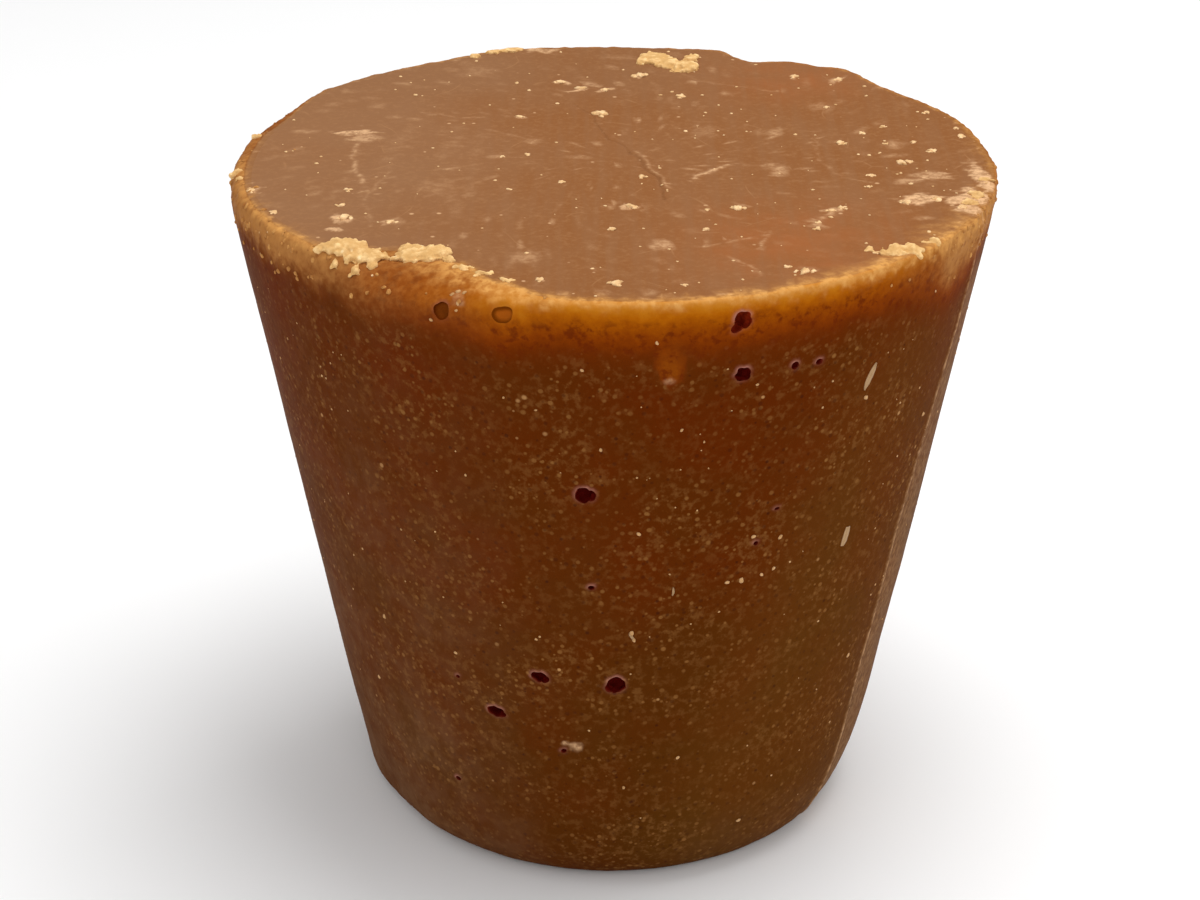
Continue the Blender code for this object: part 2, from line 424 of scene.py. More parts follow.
SMEARS = [Smear(*row) for row in (
    (-39.2, 13.2, 7.6, 2.4, 4, 0.80, 0.10), (-37.8, 10.8, 4.8, 3.8, 0, 0.50, 0.07),
    (-46, 14, 5.6, 1.5, 0, 0.35), (-8, 39, 3.2, 1.8, -20, 0.95, 0.14), (-5, 35.4, 4.4, 1.5, 35, 0.95, 0.14),
    (-1.2, 35, 3.2, 1.6, 20, 0.80, 0.12), (1, 38.6, 3.4, 1.3, 45, 0.60, 0.10),
    (-3, 37.3, 4.0, 2.2, 0, 0.45), (4.6, 42.3, 2.0, 2.6, 0, 1.00, 0.18),
    (2, -20.6, 2.8, 3.0, 0, 0.85, 0.14), (6.6, -36, 3.0, 4.2, 0, 0.60, 0.08),
    (-12, -40.6, 4.6, 4.0, 0, 0.30), (-38.3, -25.3, 3.2, 3.6, 0, 0.85, 0.15),
    (-39.2, -29.6, 3.4, 2.2, 0, 0.85, 0.15), (-31.5, -26.6, 2.4, 1.8, 0, 0.55),
    (44, -17.3, 6.6, 4.8, 20, 1.00, 0.16), (47, -7, 6.5, 3.6, 10, 0.60), (43, -9.4, 4.4, 2.2, 0, 0.55),
    (49.8, -17.4, 5.0, 4.6, 0, 1.00, 0.18), (54, -8, 3.2, 14.0, 8, 1.00, 0.14),
    (52, -15.6, 3.4, 8.0, 14, 1.00, 0.14), (50.4, -21.4, 3.4, 5.0, 10, 0.95, 0.14),
    (24.8, 13, 1.8, 6.0, 0, 0.50), (23.9, -3.5, 1.7, 7.5, 4, 0.55, 0.07),
    (36.3, 38.4, 2.2, 2.0, 0, 0.70, 0.10), (29.3, 41, 1.3, 2.6, 20, 0.80, 0.12),
    (-14.5, 21.2, 1.9, 1.2, 0, 0.70, 0.10), (-12, 9.6, 2.4, 3.0, 0, 0.30), (-17.2, 2.4, 1.8, 2.4, 0, 0.38),
    (-5.5, 1.5, 3.4, 2.0, 0, 0.22), (-11.8, 54.4, 6.6, 2.6, 8, 0.85, 0.15),
    (31.2, -21.8, 3.6, 2.0, 40, 0.70, 0.10), (28.4, -27.4, 1.5, 3.0, 0, 0.50),
    (-52, -12.8, 1.2, 3.6, -12, 0.70, 0.12), (42.4, 7.4, 3.0, 2.4, 0, 0.50),
    (45.5, -42, 3.0, 2.0, 40, 0.40), (33, 26, 3.0, 5.0, 30, 0.22), (-22, 44, 7.0, 4.0, 25, 0.20),
    (14, 14, 6.0, 4.0, 60, 0.14), (-26, -12, 8.0, 5.0, 110, 0.14),
)]

# Round the rim: azimuth, amber glow (painted light passing through the thin rim), crumbly breakage, pale edge
# line (partly a painted highlight), its width, the edge's roughness, and grey dust with a painted sheen.
RIM_LOOKS = (
    (-175, 0.50, 0.15, 0.35, 0.5, 0.35, 0.35), (-161, 0.45, 0.20, 0.50, 0.6, 0.55, 0.40),
    (-140, 0.55, 0.10, 0.35, 0.5, 0.40, 0.30), (-118, 0.40, 0.30, 0.25, 0.5, 0.50, 0.45),
    (-100, 0.30, 0.60, 0.12, 0.6, 0.60, 0.34), (-80, 0.22, 0.84, 0.36, 0.8, 0.62, 0.33),
    (-60, 0.26, 0.94, 0.80, 1.0, 0.60, 0.34), (-46, 0.34, 0.78, 0.60, 1.0, 0.55, 0.36),
    (-36, 0.40, 0.46, 0.42, 0.9, 0.45, 0.28), (-24, 0.52, 0.36, 0.90, 0.9, 0.45, 0.14),
    (-12, 0.88, 0.16, 1.00, 1.1, 0.45, 0.04), (2, 1.00, 0.04, 1.00, 1.0, 0.35, 0.02),
    (20, 1.00, 0.04, 1.00, 1.3, 0.35, 0.01), (36, 0.88, 0.10, 1.00, 1.8, 0.40, 0.01),
    (48, 0.74, 0.40, 0.90, 2.0, 0.50, 0.02), (58, 1.00, 1.00, 0.72, 3.0, 0.55, 0.03),
    (70, 0.72, 0.90, 0.36, 2.4, 0.55, 0.12), (84, 0.48, 0.55, 0.34, 1.4, 0.60, 0.34),
    (104, 0.50, 0.30, 0.50, 0.8, 0.50, 0.38), (127, 0.55, 0.20, 0.45, 0.6, 0.60, 0.35),
    (150, 0.60, 0.15, 0.40, 0.6, 0.50, 0.30), (168, 0.55, 0.15, 0.35, 0.5, 0.40, 0.30),
)

# Pale marks in the wall, as azimuth, height, breadth and strength.
WALL_MARKS = (
    (-7.4, 26.9, 1.2, 0.75), (-9.2, 27.4, 0.6, 0.6), (7.6, 90.0, 0.9, 0.36), (-22.2, 100.2, 1.1, 0.34),
)


@dataclass(frozen=True)
class MouldSeam:
    """The thin fin that the joint of the mould left down the wall, and the step beside it."""

    route: tuple[tuple[float, float], ...] = (
        (57, 4), (59, 18), (60, 36), (60.5, 54), (63, 68), (66, 84), (67, 101),
    )
    width: float = 0.48
    fin: float = 0.16
    step: float = 0.12
    fade: float = 14.0

    def past(self, sites: Sites) -> Array:
        """How far past the seam the points lie, across the wall."""
        azimuths, heights = zip(*self.route)
        seam = np.interp(sites.height, heights, azimuths)
        return np.radians(turn_past(sites.azimuth, seam)) * sites.radius

    def relief(self, sites: Sites) -> Array:
        """The fin, and the wall that stands in behind it and comes back out further on."""
        past = self.past(sites)
        stood_in = ease(0.0, 0.5, past) * (1.0 - ease(1.0, self.fade, past))
        return self.fin * bell(past, self.width) - self.step * stood_in


# ---------------------------------------------------------------- meshes


def new_object(name: str, data: bpy.types.ID) -> bpy.types.Object:
    """Makes an object of its data and links it into the scene."""
    thing = bpy.data.objects.new(name, data)
    bpy.context.scene.collection.objects.link(thing)
    return thing


def piece_from(shape: bmesh.types.BMesh, name: str) -> bpy.types.Object:
    """Makes an object of a bmesh and frees the bmesh."""
    bmesh.ops.recalc_face_normals(shape, faces=shape.faces)
    mesh = bpy.data.meshes.new(name)
    shape.to_mesh(mesh)
    shape.free()
    return new_object(name, mesh)


def dressed(
    piece: bpy.types.Object, finish: "DrySugar | CaneFibre", sharp: float = 180.0
) -> bpy.types.Object:
    """Gives a piece its finish and smooth faces, with edges past the sharp angle left crisp."""
    piece.data.materials.append(finish.material())
    piece.data.shade_smooth()
    if sharp < 180.0:
        piece.data.set_sharp_from_angle(angle=math.radians(sharp))
    return piece


def read(items: bpy.types.bpy_prop_collection, name: str, width: int = 1, kind: type = np.int32) -> Array:
    """Reads one property of many items, as one row or number for each."""
    flat = np.empty(len(items) * width, kind)
    items.foreach_get(name, flat)
    return flat.reshape(-1, width).astype(float) if width > 1 else flat


def places_of(mesh: bpy.types.Mesh) -> Array:
    """The mesh's vertex places, one row each."""
    return read(mesh.vertices, "co", 3, np.float32)


def normals_of(mesh: bpy.types.Mesh) -> Array:
    """The mesh's vertex normals, one row each."""
    return read(mesh.vertex_normals, "vector", 3, np.float32)


def move_to(mesh: bpy.types.Mesh, points: Array) -> None:
    """Moves the mesh's vertices to new places."""
    mesh.vertices.foreach_set("co", points.astype(np.float32).ravel())
    mesh.update()


def paint(mesh: bpy.types.Mesh, name: str, values: Array) -> None:
    """Writes a value for each vertex into a named attribute."""
    layer = mesh.attributes.new(name, "FLOAT", "POINT")
    layer.data.foreach_set("value", np.clip(values, 0.0, 1.0).astype(np.float32))


def applied(piece: bpy.types.Object) -> None:
    """Gives the piece the mesh that its modifiers make, and removes them."""
    evaluated = piece.evaluated_get(bpy.context.evaluated_depsgraph_get())
    made = bpy.data.meshes.new_from_object(evaluated)
    plain = piece.data
    piece.modifiers.clear()
    piece.data = made
    made.name = piece.name
    bpy.data.meshes.remove(plain)


@dataclass(frozen=True)
class Setting:
    """How shapes in millimetres about the mould's axis are set into the frame of the solids."""

    low: Vector
    high: Vector
    shift: Vector

    @classmethod
    def over(cls, form: MouldForm, outline: Array) -> "Setting":
        """Centres the outline of the bare form over the solid's box."""
        low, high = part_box(NODE)
        middle = (Vector(outline.min(axis=0)) + Vector(outline.max(axis=0))) / 2.0 * MM
        shift = (low + high) / 2.0 - middle
        return cls(low, high, Vector((shift.x, shift.y, low.z)))

    def settle(self, piece: bpy.types.Object) -> None:
        """Puts a finished piece at its place and real size, inside the solid's box."""
        piece.data.transform(Matrix.Translation(self.shift) @ Matrix.Scale(MM, 4))
        move_to(piece.data, np.clip(places_of(piece.data), np.array(self.low), np.array(self.high)))
        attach(piece, BODY)

    def place(self, point: Sequence[float]) -> Vector:
        """A point about the mould's axis, in the frame of the solids."""
        return Vector(point) * MM + self.shift


class Surface:
    """The finished skin, for setting small things on it."""

    far: float = 200.0

    def __init__(self, skin: bpy.types.Object) -> None:
        """Reads the skin while it is still in millimetres."""
        faces = [tuple(face.vertices) for face in skin.data.polygons]
        self.tree = BVHTree.FromPolygons([vertex.co for vertex in skin.data.vertices], faces)

    def under(self, x: float, y: float) -> Spot:
        """The spot on the skin straight below a point over the top."""
        return self.tree.ray_cast(Vector((x, y, self.far)), -UP)[:2]

    def beside(self, azimuth: float, height: float) -> Spot:
        """The spot on the wall at an azimuth and height."""
        angle = math.radians(azimuth)
        outward = Vector((math.sin(angle), -math.cos(angle), 0.0))
        return self.tree.ray_cast(outward * self.far + Vector((0.0, 0.0, height)), -outward)[:2]


# ---------------------------------------------------------------- the skin


@dataclass
class Skin:
    """The cast body: a turned shape, refined where it has features, with its relief, blow holes and paint.

    The layers of relief are rows of a size, a depth and a seed.
    """

    form: MouldForm
    seam: MouldSeam = field(default_factory=MouldSeam)
    columns: int = 216
    top_rings: int = 34
    wall_rings: int = 48
    foot_rings: int = 17
    base_rings: int = 8
    reaches: tuple[float, ...] = (2.8, 1.8, 0.9)
    coarse: float = 1.5
    dents: int = 70
    lip_highlight_width: float = 0.32
    sharp_angle: float = 48.0
    wall_layers: tuple[tuple[float, float, float], ...] = ((26.0, 0.09, 1), (7.0, 0.035, 2), (1.8, 0.018, 3))
    top_layers: tuple[tuple[float, float, float], ...] = ((30.0, 0.10, 4), (6.0, 0.03, 5))
    chip_layers: tuple[tuple[float, float, float], ...] = ((4.0, 0.16, 11), (1.2, 0.05, 12))
    outline: Array | None = None

    def profile(self) -> list[tuple[float, float]]:
        """The (radius, height) outline from the middle of the top to the middle of the base."""
        form = self.form
        top = [(form.top_radius * k / self.top_rings, form.height) for k in range(self.top_rings)]
        foot_top = form.foot_tall + form.foot_tall_lean
        step = (form.height - foot_top) / self.wall_rings
        heights = [form.height - step * k for k in range(self.wall_rings)]
        foot = [1.0 - math.cos(math.pi / 2.0 * k / self.foot_rings) for k in range(self.foot_rings + 1)]
        heights += [foot_top * share for share in reversed(foot)]
        wall = [(float(form.wall_radius(height)), height) for height in heights]
        base = [(form.base_radius * (1.0 - k / self.base_rings), 0.0) for k in range(1, self.base_rings + 1)]
        return top + wall + base

    def turned(self) -> bmesh.types.BMesh:
        """Spins the outline once round the axis."""
        shape = bmesh.new()
        chain = [shape.verts.new((radius, 0.0, height)) for radius, height in self.profile()]
        links = [shape.edges.new(pair) for pair in zip(chain, chain[1:])]
        bmesh.ops.spin(shape, geom=chain + links, cent=(0, 0, 0), axis=(0, 0, 1), dvec=(0, 0, 0),
                       angle=math.tau, steps=self.columns, use_merge=True, use_duplicate=False)
        bmesh.ops.remove_doubles(shape, verts=shape.verts, dist=0.002)
        return shape

    def near_features(self, template: Array, reach: float) -> Array:
        """Says which places are near something that needs a fine mesh.

        Args:
            template: Places on the turned shape, one row each.
            reach: How far round each feature counts as near.

        Returns:
            True for each place that is near.
        """
        sites = Sites.on(self.form, self.form.shaped(template))
        flat, azimuth = sites.points[:, :2], sites.azimuth
        coarse = reach > self.coarse
        top = template[:, 2] > self.form.height - 1e-4
        wall = ~top & (template[:, 2] > 0.5)
        near = (np.abs(azimuth) < 105.0) | coarse
        near &= (sites.depth < 1.5 * reach) & (sites.inward < 0.8 * reach)
        near |= wall & (azimuth > -92) & (azimuth < -42) & (sites.depth < 5.0 + 1.5 * reach)
        near |= wall & (azimuth > -45) & (azimuth < -8) & (sites.depth < 8.0) & coarse
        for line in TOP_LINES:
            if line.relief:
                near |= top & (line.distance(flat) < 0.45 * reach)
        for smear in SMEARS:
            if smear.pale > 0.65 and coarse:
                reached = max(smear.wide, smear.long) / 2.0 + 0.2 * reach
                near |= top & (np.hypot(flat[:, 0] - smear.x, flat[:, 1] - smear.y) < reached)
        spots = [mark[:3] for mark in WALL_MARKS]
        for hole in BLOW_HOLES:
            spots.append((hole.azimuth, hole.height, hole.width * (0.5 + 0.3 * hole.side_bubble)))
        for azimuth, height, breadth in spots:
            near |= wall & (sites.away(azimuth, height) < breadth + 0.5 * reach)
        return near | wall & (np.abs(self.seam.past(sites)) < 0.5 * reach)

    def refine(self, shape: bmesh.types.BMesh, reach: float) -> None:
        """Splits each face that is near a feature into four."""
        chosen = self.near_features(np.array([face.calc_center_median() for face in shape.faces]), reach)
        edges = dict.fromkeys(edge for face, hit in zip(shape.faces, chosen) if hit for edge in face.edges)
        bmesh.ops.subdivide_edges(shape, edges=list(edges), cuts=1, use_grid_fill=True)

    def relief(self, sites: Sites) -> Array:
        """The height of everything low on the skin, in millimetres out from the bare form.

        Args:
            sites: Where the skin's points lie.

        Returns:
            One height for each point.
        """
        points, top, wall = sites.points, sites.top, sites.wall()
        streaked = points * np.array([1.0, 0.12, 1.0])
        high = wall * waves(points, self.wall_layers)
        high += top * (waves(points, self.top_layers) + 0.016 * cloud(streaked, 1.6, 6))
        high += self.rim_relief(sites) + self.top_relief(sites) + self.wall_relief(sites)
        foot = wall * bell(sites.height - 4.0, 5.0)
        return high + foot * 0.10 * cloud(points, 3.0, 7) - 0.06 * wall

    def rim_relief(self, sites: Sites) -> Array:
        """The worn, crumbly edge all round, the broken band on the left and the face of the chip.

        Args:
            sites: Where the skin's points lie.

        Returns:
            One height for each point.
        """
        points, wall = sites.points, sites.wall()
        looks = round_the_block(RIM_LOOKS, sites.azimuth)
        crumbly, rough = looks[:, 1], looks[:, 4]
        edge = bell(sites.depth, 1.6) * bell(np.maximum(sites.inward, 0.0), 1.1) * rough
        high = edge * (0.22 * grains(points, 1.6, 1) + 0.10 * cloud(points, 1.1, 8) - 0.22)
        high += edge * 0.42 * cloud(points, 4.5, 9, 3)
        band = wall * crumbly * (1.0 - ease(4.0, 8.5, sites.depth + 1.4 * cloud(points, 3.2, 10)))
        high += band * (0.12 * grains(points, 2.2, 2) + 0.20 * cloud(points, 3.4, 14, 3) - 0.10)
        chipped = (sites.azimuth > -44) & (sites.azimuth < -8)
        return high + wall * chipped * (1.0 - ease(4.5, 7.5, sites.depth)) * waves(points, self.chip_layers)

    def top_relief(self, sites: Sites) -> Array:
        """The lines and smears on the top.

        Args:
            sites: Where the skin's points lie.

        Returns:
            One height for each point.
        """
        flat, blotted = swayed(sites.points, 3.5, 0.5), swayed(sites.points, 2.2, 0.9)
        broken = 0.65 + 0.6 * cloud(sites.points, 1.3, 13)
        ridge, patch = np.clip(broken, 0.1, 1.2), np.clip(broken, 0.0, 1.3)
        high = sum(line.near(flat) * line.relief * (ridge if line.relief > 0 else 1.0) for line in TOP_LINES)
        return sites.top * (high + sum(smear.thick * smear.cover(blotted) * patch for smear in SMEARS))

    def wall_relief(self, sites: Sites) -> Array:
        """The seam, the lips of the blow holes, and shallow dents where small bubbles lay under the skin.

        Args:
            sites: Where the skin's points lie.

        Returns:
            One height for each point.
        """
        high = self.seam.relief(sites)
        for hole in BLOW_HOLES:
            half = hole.width / 2.0
            out = sites.away(hole.azimuth, hole.height, half, hole.tall / 2.0) - 1.0
            high += 0.10 * bell(out * half - 0.15, 0.4)
        chance = random.Random(41)
        for _ in range(self.dents):
            azimuth, height = chance.uniform(-180, 180), chance.uniform(5, 93)
            breadth = chance.uniform(0.5, 1.5)
            high -= breadth * chance.uniform(0.06, 0.14) * bell(sites.away(azimuth, height), breadth)
        return sites.wall() * (high - 0.35 * bell(sites.away(-8.8, 26.6), 1.3))

    def cutters(self) -> bpy.types.Collection:
        """Lumpy balls that open the blow holes."""
        group = bpy.data.collections.new("blow_hole_cutters")
        bpy.context.scene.collection.children.link(group)
        inside = bpy.data.materials.new("cutter_wall")
        for index, hole in enumerate(BLOW_HOLES):
            radius = float(self.form.body_radius(np.array([hole.height]), np.array([hole.azimuth]))[0])
            turn = Matrix.Rotation(math.radians(hole.azimuth), 4, "Z")
            lumpy = 0.30 * (1.0 - 0.85 * hole.glow)
            for part, (across, up, size) in enumerate(hole.bubbles()):
                scale = Matrix.Diagonal((hole.width / 2 * size, hole.deep * size, hole.tall / 2 * size, 1.0))
                ball, fineness = bmesh.new(), 4 if hole.width > 2.0 else 3
                bmesh.ops.create_icosphere(ball, subdivisions=fineness, radius=1.0, matrix=scale)
                for vertex in ball.verts:
                    wave = noise.noise(vertex.co / 0.9 + Vector((index * 3.1, part * 5.3, 0.0)))
                    vertex.co *= 1.0 + lumpy * wave
                ball.transform(turn @ Matrix.Translation((across, -radius, hole.height + up)))
                cutter = piece_from(ball, f"blow_hole_{index:02d}_{part}")
                cutter.data.materials.append(inside)
                bpy.context.scene.collection.objects.unlink(cutter)
                group.objects.link(cutter)
        return group

    def opened(self, skin: bpy.types.Object) -> None:
        """Cuts the blow holes and leaves their walls in a material slot of their own."""
        group = self.cutters()
        cut = skin.modifiers.new("blow_holes", "BOOLEAN")
        cut.operation, cut.solver, cut.material_mode = "DIFFERENCE", "MANIFOLD", "TRANSFER"
        cut.operand_type = "COLLECTION"
        cut.collection = group
        applied(skin)
        for cutter in list(group.objects):
            bpy.data.objects.remove(cutter)
        bpy.data.collections.remove(group)

    def paint_rim(self, mesh: bpy.types.Mesh, sites: Sites, ragged: Array) -> None:
        """Writes the amber glow that paints light passing through the thin rim, the crumbly band, the pale
        edge that is partly a painted highlight, and grey dust on the wall that partly paints a sheen.

        Args:
            mesh: The skin's mesh.
            sites: Where its points lie.
            ragged: Noise for uneven outlines.
        """
        points, wall, azimuth, height = sites.points, sites.wall(), sites.azimuth, sites.height
        glow, crumbly, pale_grit_and_highlight, edge_width, _, dust_and_sheen = round_the_block(RIM_LOOKS, azimuth).T
        wander = cloud(points, 5.0, 20, 3)
        lowered = sites.depth - 2.2 * ease(-46.0, -36.0, azimuth) * (1.0 - ease(-20.0, -8.0, azimuth))
        deeper = bell(azimuth - 58.0, 13.0)
        reach = 3.0 + 1.3 * glow + 2.2 * deeper
        fall = np.exp(-np.maximum(lowered + 0.9 * wander + 0.5 * ragged, 0.0) / reach)
        patch = 1.0 - ease(0.35, 1.25, sites.away(7.7, 92.2, 2.4, 3.6) + 0.25 * ragged)
        # Amber glow: painted light passing through the thin rim, and a soft amber patch.
        paint(mesh, "amber_glow", wall * np.maximum(glow * fall, 0.34 * patch))
        olive = ease(24.0, 46.0, azimuth + 0.35 * (80.0 - height)) * (azimuth < 100.0)
        paint(mesh, "mellow", wall * np.maximum(0.36 * patch, 0.21 * olive * ease(0.0, 14.0, sites.depth)))
        band = 1.0 - ease(0.5, 8.8 + 3.6 * deeper, lowered + 1.6 * wander + 0.7 * ragged)
        paint(mesh, "crumbly", wall * crumbly * band)
        wavy = 1.0 + 0.55 * ragged + 0.4 * wander
        down = (0.25 + 0.5 * edge_width) * wavy
        # The pale edge line: gritty sugar, and partly a painted highlight along the rim.
        edge = bell(np.maximum(sites.inward, 0.0), edge_width * wavy) * bell(sites.depth, down)
        paint(mesh, "edge", pale_grit_and_highlight * edge * (0.9 + 0.6 * ragged))
        # Grey dust on the wall that also paints the sheen of grazing light, strongest at the sides and near
        # the foot.
        dust_and_sheen_amount = dust_and_sheen * (2.60 - 2.20 * height / self.form.height)
        dust_and_sheen_amount += 0.46 * (1.0 - ease(3.0, 16.0, height)) * ease(10.0, 26.0, np.abs(azimuth))
        paint(mesh, "dust_and_sheen", wall * dust_and_sheen_amount * (0.85 + 0.5 * cloud(points, 14.0, 22)))

    def paint_marks(self, mesh: bpy.types.Mesh, sites: Sites, ragged: Array) -> None:
        """Writes the dull, pale, dark and flushed parts of the top, with painted shade darker towards the
        back, and the pale marks of the wall.

        Args:
            mesh: The skin's mesh.
            sites: Where its points lie.
            ragged: Noise for uneven outlines.
        """
        points, top, wall = sites.points, sites.top, sites.wall()
        paint(mesh, "top", top)
        dull = 0.10 + 0.75 * ease(2.0, 36.0, -points[:, 0]) + 0.40 * ease(26.0, 48.0, points[:, 1])
        paint(mesh, "dull", top * (dull + 0.35 * cloud(points, 18.0, 25, 3)))
        flat, blotted = swayed(points, 3.5, 0.5), swayed(points, 2.2, 0.9)
        streaky = 0.25 * ragged + 0.45 * cloud(points * np.array([0.35, 1.0, 1.0]), 0.9, 24, 3)
        # The dark marks start with painted shade, darker towards the back of the top.
        pale, dark = np.zeros(len(flat)), 0.10 * top * ease(10.0, 48.0, points[:, 1])
        for smear in SMEARS:
            pale = np.maximum(pale, top * smear.pale * ease(0.15, 0.85, smear.cover(blotted) + streaky))
        for line in TOP_LINES:
            near = top * line.near(flat)
            pale = np.maximum(pale, line.pale * near * np.clip(0.7 + 0.9 * ragged, 0.0, 1.2))
            dark = np.maximum(dark, line.dark * near)
        past = self.seam.past(sites)
        seam = bell(past - 0.05, self.seam.width) * (0.75 + 0.5 * ragged)
        behind = ease(0.0, 0.6, past) * (1.0 - ease(4.0, 18.0, past)) * (1.0 - ease(88.0, 98.0, sites.height))
        pale = np.maximum(pale, wall * np.maximum(0.66 * seam, 0.15 * behind))
        for azimuth, height, breadth, strength in WALL_MARKS:
            off = sites.away(azimuth, height, breadth, breadth / 1.4)
            pale = np.maximum(pale, wall * strength * (1.0 - ease(0.4, 1.3, off - 0.4 * ragged)))
        paint(mesh, "pale", pale)
        paint(mesh, "dark", dark)
        flush = bell(np.hypot(flat[:, 0] - 26.0, flat[:, 1] + 36.0), 16.0)
        flush += 0.8 * bell(np.hypot(flat[:, 0] - 30.0, flat[:, 1] - 40.0), 12.0)
        paint(mesh, "flush", top * flush * (0.8 + 0.6 * cloud(points, 4.0, 23, 3)))

    def paint_holes(self, mesh: bpy.types.Mesh, sites: Sites) -> None:
        """Writes the painted highlight on the lip round each blow hole, brightest on its upper side, its
        glow, and how far inside it a place is.

        Args:
            mesh: The skin's mesh.
            sites: Where its points lie.
        """
        count = len(mesh.vertices)
        slots = read(mesh.polygons, "material_index")
        in_hole = np.repeat(slots == HOLE_SLOT, read(mesh.polygons, "loop_total"))
        used = read(mesh.loops, "vertex_index")
        inner, outer = (np.bincount(used[part], minlength=count) > 0 for part in (in_hole, ~in_hole))
        rim = np.flatnonzero(inner & outer)
        tree = KDTree(max(len(rim), 1))
        for index in rim:
            tree.insert(sites.points[index], int(index))
        tree.balance()
        near, (lip_highlights, inside, over, glow) = np.zeros(count, bool), np.zeros((4, count))
        for hole in BLOW_HOLES:
            across, up = sites.from_spot(hole.azimuth, hole.height)
            close = np.hypot(across, up) < hole.width + 1.0
            near |= close
            # The lip's painted highlight is brightest on the hole's upper side, where the light falls.
            upper = ease(-0.2, 0.5, (up - 0.35 * across) / hole.tall)
            over[close] = min(1.0, 0.35 + 0.3 * hole.width) * (0.15 + 0.85 * upper)[close]
            glow[close] = hole.glow
        for index in np.flatnonzero(near & (sites.height < 101.9)):
            distance = tree.find(sites.points[index])[2]
            inside[index] = distance if inner[index] else 0.0
            lip_highlights[index] = math.exp(-((distance / self.lip_highlight_width) ** 2)) if outer[index] else 0.0
        uneven = 0.75 + 0.7 * cloud(sites.points, 1.1, 26)
        paint(mesh, "lip_highlight", lip_highlights * (1.0 - np.minimum(1.8 * glow, 0.92)) * over * uneven)
        paint(mesh, "glow", glow)
        paint(mesh, "inside", inside / 1.2)

    @staticmethod
    def part_top(mesh: bpy.types.Mesh, sites: Sites) -> None:
        """Gives the faces inside the top's edge a material slot of their own."""
        slots, sizes = read(mesh.polygons, "material_index"), read(mesh.polygons, "loop_total")
        used, starts = read(mesh.loops, "vertex_index"), np.cumsum(sizes) - sizes
        on_top, inward = (np.add.reduceat(each[used], starts) / sizes for each in (sites.top, sites.inward))
        slots[(slots == WALL_SLOT) & (on_top > 0.995) & (inward > 1.0)] = TOP_SLOT
        mesh.polygons.foreach_set("material_index", slots)

    def build(
        self, finish: "CastSugar", top_finish: "DryTop", bubble_finish: "BubbleWall"
    ) -> bpy.types.Object:
        """Builds and dresses the skin, still in millimetres about the mould's axis.

        Args:
            finish: The finish of the wall and the rim.
            top_finish: The finish of the top, inside its edge.
            bubble_finish: The finish inside the blow holes.

        Returns:
            The skin's object.
        """
        shape = self.turned()
        for reach in self.reaches:
            self.refine(shape, reach)
        skin = piece_from(shape, "jaggery_skin")
        mesh = skin.data
        move_to(mesh, self.form.shaped(places_of(mesh)))
        self.outline = places_of(mesh)
        relief = self.relief(Sites.on(self.form, self.outline))
        move_to(mesh, self.outline + normals_of(mesh) * relief[:, None])
        mesh.materials.append(finish.material())
        mesh.materials.append(top_finish.material())
        self.opened(skin)
        mesh = skin.data
        sites = Sites.on(self.form, places_of(mesh), normals_of(mesh)[:, 2])
        ragged = cloud(sites.points, 1.4, 21, 3)
        self.paint_rim(mesh, sites, ragged)
        self.paint_marks(mesh, sites, ragged)
        self.paint_holes(mesh, sites)
        self.part_top(mesh, sites)
        mesh.materials[HOLE_SLOT] = bubble_finish.material()
        mesh.shade_smooth()
        mesh.set_sharp_from_angle(angle=math.radians(self.sharp_angle))
        return skin


# ---------------------------------------------------------------- loose sugar and husk


@dataclass(frozen=True)
class Lump:
    """A rounded lump of dry sugar on the top: its middle, breadths, height and turn."""

    x: float
    y: float
    wide: float
    long: float
    tall: float
    turn: float = 0.0


RIM_LUMPS = [Lump(*row) for row in (
    # The big crumb at the front left, with its drips down the broken rim.
    (-37.2, -36.6, 7.2, 4.6, 1.15, 12), (-33.4, -38.6, 4.6, 3.2, 0.95, -24),
    (-39.6, -36.4, 3.2, 2.4, 0.6, -30), (-35.4, -38.9, 3.6, 2.2, 0.8), (-38.3, -39.4, 1.5, 2.2, 0.55, 10),
    (-35.2, -41.0, 1.5, 2.4, 0.6, 4), (-32.9, -40.6, 1.7, 2.2, 0.6), (-31.2, -39.2, 1.5, 1.4, 0.5),
    # Its neighbour.
    (-27.6, -38.8, 4.8, 5.6, 1.15), (-24.8, -39.2, 4.4, 5.8, 1.15, -8), (-22.6, -41.4, 2.0, 1.8, 0.7),
    (-29.6, -40.0, 1.8, 1.6, 0.6), (-20.6, -44.0, 2.6, 1.1, 0.4, -30), (-17.8, -46.4, 2.6, 0.9, 0.4, -33),
    (-14.8, -48.9, 3.0, 0.9, 0.35, -26),
    # The flake at the back.
    (7.0, 50.6, 5.6, 5.4, 1.1), (9.4, 48.0, 4.6, 4.4, 1.0, -30), (12.2, 46.4, 4.4, 4.8, 1.1, 20),
    (13.0, 50.0, 2.6, 3.6, 0.9), (10.8, 44.8, 2.2, 2.0, 0.6), (5.0, 48.8, 2.0, 2.2, 0.7),
    # The rim at the back left.
    (-19.6, 53.2, 3.0, 1.8, 1.0, 20), (-16.6, 54.2, 3.4, 2.2, 1.1, 12), (-22.4, 51.2, 1.8, 1.2, 0.8, 20),
    # The cluster at the right front.
    (38.4, -38.6, 4.4, 3.0, 0.95, 24), (40.6, -38.0, 3.2, 3.0, 0.9, 30), (36.8, -39.4, 1.8, 1.6, 0.7),
    (42.0, -38.8, 1.6, 1.4, 0.5), (44.2, -35.0, 3.0, 1.6, 0.55, 35), (34.8, -37.6, 1.8, 1.2, 0.55, 20),
    (52.2, -15.6, 2.2, 3.4, 0.6, 10), (51.0, -19.0, 2.4, 2.2, 0.55, 20), (54.6, -8.6, 1.2, 3.0, 0.5, 8),
    # The left rim.
    (-54.4, 11.6, 1.2, 1.8, 0.7, -12), (-55.6, -4.4, 1.4, 2.4, 0.7, 5), (-54.9, -7.6, 1.0, 1.4, 0.5),
)]

